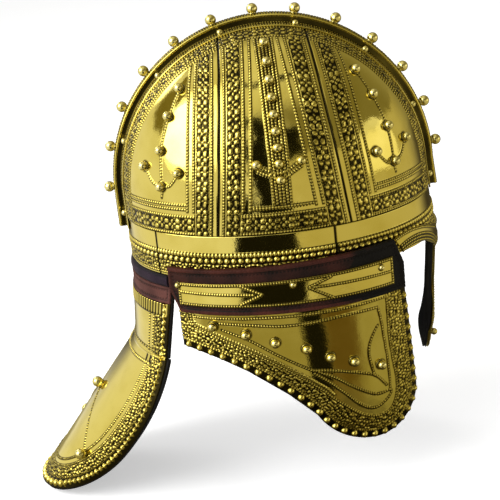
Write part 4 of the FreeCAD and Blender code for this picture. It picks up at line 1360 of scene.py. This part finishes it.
# Ornament by distance from the tongue's edge: balls round the tip, stars and balls beside it,
# ground and two bead rows; and one bead row below the fold
TIP_HALF, TIP_BALLS, FLARE_GROUND, FLARE_ROWS, FOLD_ROW, FIELD = 45, 3.6, 16.0, (17.2, 22.0), 6.0, 23


def flare_relief(u, v, place):
    """Balls and stars round the edge, a relief band and beaded lines, and a polished field."""
    away, along = nearest(place, tongue_outline)
    fold = NECK_FOLD[0] - place[..., 2]
    middle = along - line_lengths(tongue_outline)[-1] / 2
    edge = np.where(abs(middle) < TIP_HALF, bead_row(away - TIP_BALLS, along, 6.2, 2.7, 2.1),
                    star_row(away - STAR_AWAY, along, STAR_PITCH))
    ground = within(away, FLARE_GROUND) * np.clip((away - NECK_GROUND) / 0.4, 0, 1)
    rows = np.maximum.reduce([bead_row(away - row, along) for row in FLARE_ROWS]) * (fold > FOLD_ROW)
    fold_row = bead_row(fold - FOLD_ROW, u * 100, 2.0) * (away > FLARE_GROUND)
    linked, linked_dark = beaded_lines(place, flare_lines)
    height = np.maximum.reduce([edge, 0.8 * rough_ground(along, away) * ground, rows, fold_row,
                                linked * (away > FIELD)])
    hollow = np.maximum.reduce([bead_shadow(away - row) for row in FLARE_ROWS] + [
        ground, within(away, NECK_GROUND), bead_shadow(fold - FOLD_ROW) * (away > FLARE_GROUND),
        linked_dark * (away > FIELD)])
    height = height + 0.8 * np.clip(1 - (fold / 1.4) ** 2, 0, None)
    return height + beaten(place) * (1 - hollow), darkness(height, hollow)


dress(sheet_piece("neck_flare_plate_chased", tongue, flare_relief, 290, 230, 1.1, back_columns=41),
      sheet_brass, "sheet_brass", "neck_guard", "neck_flare_plate")
# The lining reaches 1.8 mm past the plate's edge; that black rim also stands in as painted shadow beside it
dress(sheet_piece("neck_flare_lining_leather", flare_shape(flare_flat(1.8), 1.6), plain, 61, 50, 2.3,
                  back_columns=61),
      lining_leather, "lining_leather", "neck_guard", "neck_flare_lining")
dress(heads_piece("neck_balls_turned", flare_spots, ball_head(collar=3.4, ball=4.1, rise=7.4)),
      stud_brass, "stud_brass", "neck_guard", "neck_balls")


# Nasal: one brass plate with an arch over each eye and a bar that widens to a spade, beaded
# along its edges, with a ball on each side of the spade and a black leather lining.
BROW_OUT, BROW_END, BROW_SLANT = 1.4, 81.0, 6.15
brow_top = arcs([(74.85, 11.73), (92.52, 13.8), (109.82, 4.4)], 30)
brow_foot = arcs([(109.82, -11.5), (96.85, 1.38), (BROW_END, 0.0)], 30)[::-1]


def brow_shape(u, v):
    """A level ellipse round the brow, from the end of the right arch to that of the left one.

    At each reach its height lies between the arcs of the foot and of the top."""
    growth, shift = spread_at(0.0)
    end = BROW_END - BROW_SLANT * np.clip(v, 0, 1)
    far = np.arccos((end - shift) / ((BOWL_LENGTH + BROW_OUT) * growth))
    angle = far * (2 * u - 1)
    x = shift + (BOWL_LENGTH + BROW_OUT) * growth * np.cos(angle)
    low = np.interp(x, brow_foot[:, 0], brow_foot[:, 1])
    high = np.interp(x, brow_top[:, 0], brow_top[:, 1])
    return np.stack([x, (BOWL_WIDTH + BROW_OUT) * growth * np.sin(angle), low + (high - low) * v], -1)


BROW_ROWS, NASAL_BEADS, NASAL_SHADOW = (1.2, 3.4, 5.6), (1.9, 0.8, 0.65), 1.3


def brow_relief(u, v, place):
    """Three rows of fine beads along the foot, and one along the top."""
    away, along = from_edges(place, edge_of(brow_shape, "l", 90))
    top, top_along = from_edges(place, edge_of(brow_shape, "u", 90))
    rows = [bead_row(away - row, along, *NASAL_BEADS) for row in BROW_ROWS]
    rows.append(bead_row(top - BROW_ROWS[0], top_along, *NASAL_BEADS))
    shadows = [bead_shadow(away - row, NASAL_SHADOW) for row in BROW_ROWS]
    shadows.append(bead_shadow(top - BROW_ROWS[0]))
    height, hollow = np.maximum.reduce(rows), np.maximum.reduce(shadows)
    return height + 0.5 * beaten(place) * (1 - hollow), darkness(height, hollow, 0.6)


dress(sheet_piece("brow_arches_chased", brow_shape, brow_relief, 300, 34, 1.0, back_columns=61),
      sheet_brass, "sheet_brass", "bowl", "nasal_plate")

# Levels of the bar: the height, the reach before the middle and the radius of the level arc
NASAL_RADIUS, SPADE_TOP, SPADE_REACH, SPADE_FOOT, SPADE_TIP = 32.0, -76, 109.82, -102.2, 102.62
NASAL_LEVELS = [(4.4, 115.12, 75.6), (0, 115.12, 75.6), (-11.5, 113.62, 53.8),
                (-43.75, 111.09, NASAL_RADIUS), (SPADE_TOP, SPADE_REACH, NASAL_RADIUS),
                (SPADE_FOOT, SPADE_TIP, NASAL_RADIUS)][::-1]
spade_right = arcs([(-16.5, -76.0), (-13.5, -91.0), (0.0, -101.0)], 24)


def nasal_flat(top):
    """The bar seen from the front: its sides narrow to a waist and widen to the spade."""
    widen = [(-11.0, -10.0), (-10.0, -30.0), (-9.9, -43.75), (-11.5, -58.0), (-15.0, -71.0),
             (-16.5, -76.0)]
    side = np.concatenate([[(-11.0, top)], smooth_line(widen, 30), spade_right[1:12]])
    tip = spade_right[11:]
    lower = np.concatenate([tip, (tip * [-1, 1])[::-1][1:]])
    return patch(lower, [(-11.0, top), (11.0, top)], side[::-1], (side * [-1, 1])[::-1])


def nasal_shape(flat, proud):
    """A flat front-view sheet bent round the level arcs of the bar."""
    def shape(u, v):
        spot = flat(u, v)
        levels = np.array(NASAL_LEVELS)
        reach, radius = (np.interp(spot[..., 1], levels[:, 0], levels[:, i]) for i in (1, 2))
        inner = radius - proud
        x = reach - radius + np.sqrt(inner ** 2 - spot[..., 0] ** 2)
        return np.stack([x, spot[..., 0], spot[..., 1]], -1)
    return shape


nasal_bar = nasal_shape(nasal_flat(-10.2), -0.15)


# Bead rows and the punched field by distance from the edge, and the heights of the field's top
# and of the bare zone round the two balls
NASAL_ROWS, NASAL_FIELD, FIELD_TOP, BARE_TOP, BARE_FOOT = (1.3, 3.8), 5.4, -20, -76, -92


def nasal_relief(u, v, place):
    """Two rows of fine beads round the edge and punched flowers between them."""
    away, along = from_edges(place, edge_of(nasal_bar, "lrf", 70))
    z = place[..., 2]
    flowers, inside = relief_band(place[..., 1], z, 9.0, 0.6)
    bare = within(z, BARE_TOP) * np.clip((z - BARE_FOOT) / 2, 0, 1)
    field = within(z, FIELD_TOP) * np.clip((away - NASAL_FIELD) / 0.4, 0, 1)
    height = np.maximum.reduce([bead_row(away - row, along, *NASAL_BEADS) for row in NASAL_ROWS])
    hollow = np.maximum.reduce([bead_shadow(away - row, NASAL_SHADOW) for row in NASAL_ROWS])
    height = np.maximum(height, flowers * field * (1 - bare))
    hollow = np.maximum(hollow, inside * field * (1 - bare) * 0.8)
    return height, darkness(height, hollow, 0.6)


dress(sheet_piece("nasal_bar_chased", nasal_bar, nasal_relief, 84, 230, 1.1, back_columns=21),
      sheet_brass, "sheet_brass", "bowl")
dress(sheet_piece("nasal_lining_leather", nasal_shape(nasal_flat(-4.0), 1.3), plain, 31, 60, 1.9,
                  back_columns=31),
      lining_leather, "lining_leather", "bowl", "nasal_lining")

# The balls stand square to the spade, which leans back towards its tip
BALL_ASIDE, BALL_HEIGHT, BALL_DROP, BALL_SEAT = 13.0, -83.0, 7.0, 32.15
spade_lean = 7.2 / 26.2
ball_axis = SPADE_REACH - BALL_DROP * spade_lean - NASAL_RADIUS
nasal_spots = []
for aside in (-BALL_ASIDE, BALL_ASIDE):
    around = np.array([math.sqrt(1 - (aside / NASAL_RADIUS) ** 2), aside / NASAL_RADIUS, 0])
    spot = np.array([ball_axis, 0, BALL_HEIGHT]) + around * BALL_SEAT
    nasal_spots.append((spot, unit(around - [0, 0, spade_lean])))
dress(heads_piece("nasal_balls_turned", nasal_spots, ball_head(collar=2.4, ball=2.6, rise=4.7)),
      stud_brass, "stud_brass", "bowl", "nasal_balls")


# Liner: a cap of eight padded leather gores, sewn together and fixed inside the steel skull.
# Each gore puffs inward between its seams.
LINER_FOOT, LINER_GORES, LINER_OUT, LINER_IN, GORE_PUFF = 4.0, 8, -2.7, -4.3, 1.2


def liner_shell(offset, gore_puff, rows=40, columns=96):
    """Rings of places from the foot up to a pole at the crown, each gore puffed inward."""
    heights = np.linspace(LINER_FOOT, CROWN_HEIGHT, 10)
    angle = np.linspace(0, 2 * math.pi, columns, endpoint=False)
    puff = gore_puff * abs(np.sin(angle * LINER_GORES / 2)) ** 0.6
    rings = []
    for height in heights:
        growth, shift = spread_at(height)
        share = min(1.0, (height - LINER_FOOT) / 12)
        away = offset - puff * share
        rings.append(np.stack([shift + (BOWL_LENGTH + away) * growth * np.cos(angle),
                               (BOWL_WIDTH + away) * growth * np.sin(angle), height + 0 * angle], -1))
    for rise in np.linspace(0, math.pi / 2, rows)[1:-1]:
        away = offset - puff * math.cos(rise)
        rings.append(np.stack([(BOWL_LENGTH + away) * np.cos(angle) * math.cos(rise),
                               (BOWL_WIDTH + away) * np.sin(angle) * math.cos(rise),
                               CROWN_HEIGHT + (BOWL_LENGTH + away) * math.sin(rise)], -1))
    return np.array(rings), np.array([0, 0, CROWN_HEIGHT + BOWL_LENGTH + offset])


def liner_piece(name):
    """One closed skin, from the pole inside down to the foot and up to the pole outside."""
    outer, outer_pole = liner_shell(LINER_OUT, 0.0)
    inner, inner_pole = liner_shell(LINER_IN, GORE_PUFF)
    rings = np.concatenate([inner[::-1], outer])
    count, columns = rings.shape[:2]
    index = np.arange(count * columns).reshape(count, columns)
    after = np.roll(index, -1, axis=1)
    quads = np.stack([index[:-1], after[:-1], after[1:], index[1:]], -1).reshape(-1, 4)
    poles = count * columns
    first = np.stack([after[0], index[0], np.full(columns, poles)], -1)
    last = np.stack([index[-1], after[-1], np.full(columns, poles + 1)], -1)
    points = np.concatenate([rings.reshape(-1, 3), [inner_pole, outer_pole]])
    return polygons_to_mesh(name, points, [quads, first, last], (), np.zeros(len(points)))


liner_leather = leather("liner_leather", (0.11, 0.060, 0.034), (0.045, 0.024, 0.014), 0.45)
dress(liner_piece("head_liner_sewn"), liner_leather, "liner_leather", "bowl", "head_liner")

# Skull: two halves of beaten iron under the brass, joined beneath the ridge. They keep their
# meshes and get a new finish, because they show only as a dark edge at the rim.
skull_iron, iron_tree, iron_shader = start_material("skull_steel")
iron = Shade(iron_tree)
iron_where = iron.add("ShaderNodeTexCoord", output=3)
iron_stains = iron.add("ShaderNodeTexNoise", None, {"Vector": iron_where, "Scale": 60.0, "Detail": 6.0})
plug(iron_shader, "Base Color",
     iron_stains.between(0.35, 0.65).mix((0.20, 0.20, 0.19), (0.07, 0.06, 0.055)))
plug(iron_shader, "Metallic", 1.0)
plug(iron_shader, "Roughness", iron_stains * 0.3 + 0.3)
for node in ("skull_half_right", "skull_half_left"):
    skull = bpy.data.objects[node]
    skull.data.materials.clear()
    skull.data.materials.append(skull_iron)

# Floor: a plain white board just under the tip of the neck guard, which takes the shadow. The
# metal mirrors the studio in its place, as if the board weren't there.
floor_mesh = bpy.data.meshes.new("floor")
floor_mesh.from_pydata([(-6, -6, -0.1735), (6, -6, -0.1735), (6, 6, -0.1735), (-6, 6, -0.1735)], [],
                       [(0, 1, 2, 3)])
floor = bpy.data.objects.new("floor", floor_mesh)
bpy.context.scene.collection.objects.link(floor)
floor_white, floor_tree, floor_shader = start_material("floor_white")
plug(floor_shader, "Base Color", (0.93, 0.93, 0.93))
plug(floor_shader, "Roughness", 0.9)
plug(floor_shader, "Emission Color", (1.0, 1.0, 1.0))
plug(floor_shader, "Emission Strength", 0.45)
floor_shade = Shade(floor_tree)
floor_spot = floor_shade.add("ShaderNodeTexCoord", output=3)
floor_way = floor_shade.add("ShaderNodeVectorMath", {"operation": "NORMALIZE"}, {0: floor_spot})
seen = floor_shade.add("ShaderNodeLightPath", output=3)
mirror_side = floor_shade.add("ShaderNodeEmission", None, {"Color": studio_colour(floor_shade, floor_way)})
floor_mix = floor_tree.nodes.new("ShaderNodeMixShader")
floor_tree.links.new(seen.socket, floor_mix.inputs[0])
floor_tree.links.new(floor_shader.outputs[0], floor_mix.inputs[1])
floor_tree.links.new(mirror_side.socket, floor_mix.inputs[2])
floor_tree.links.new(floor_mix.outputs[0], floor_tree.nodes["Material Output"].inputs[0])
floor_mesh.materials.append(floor_white)
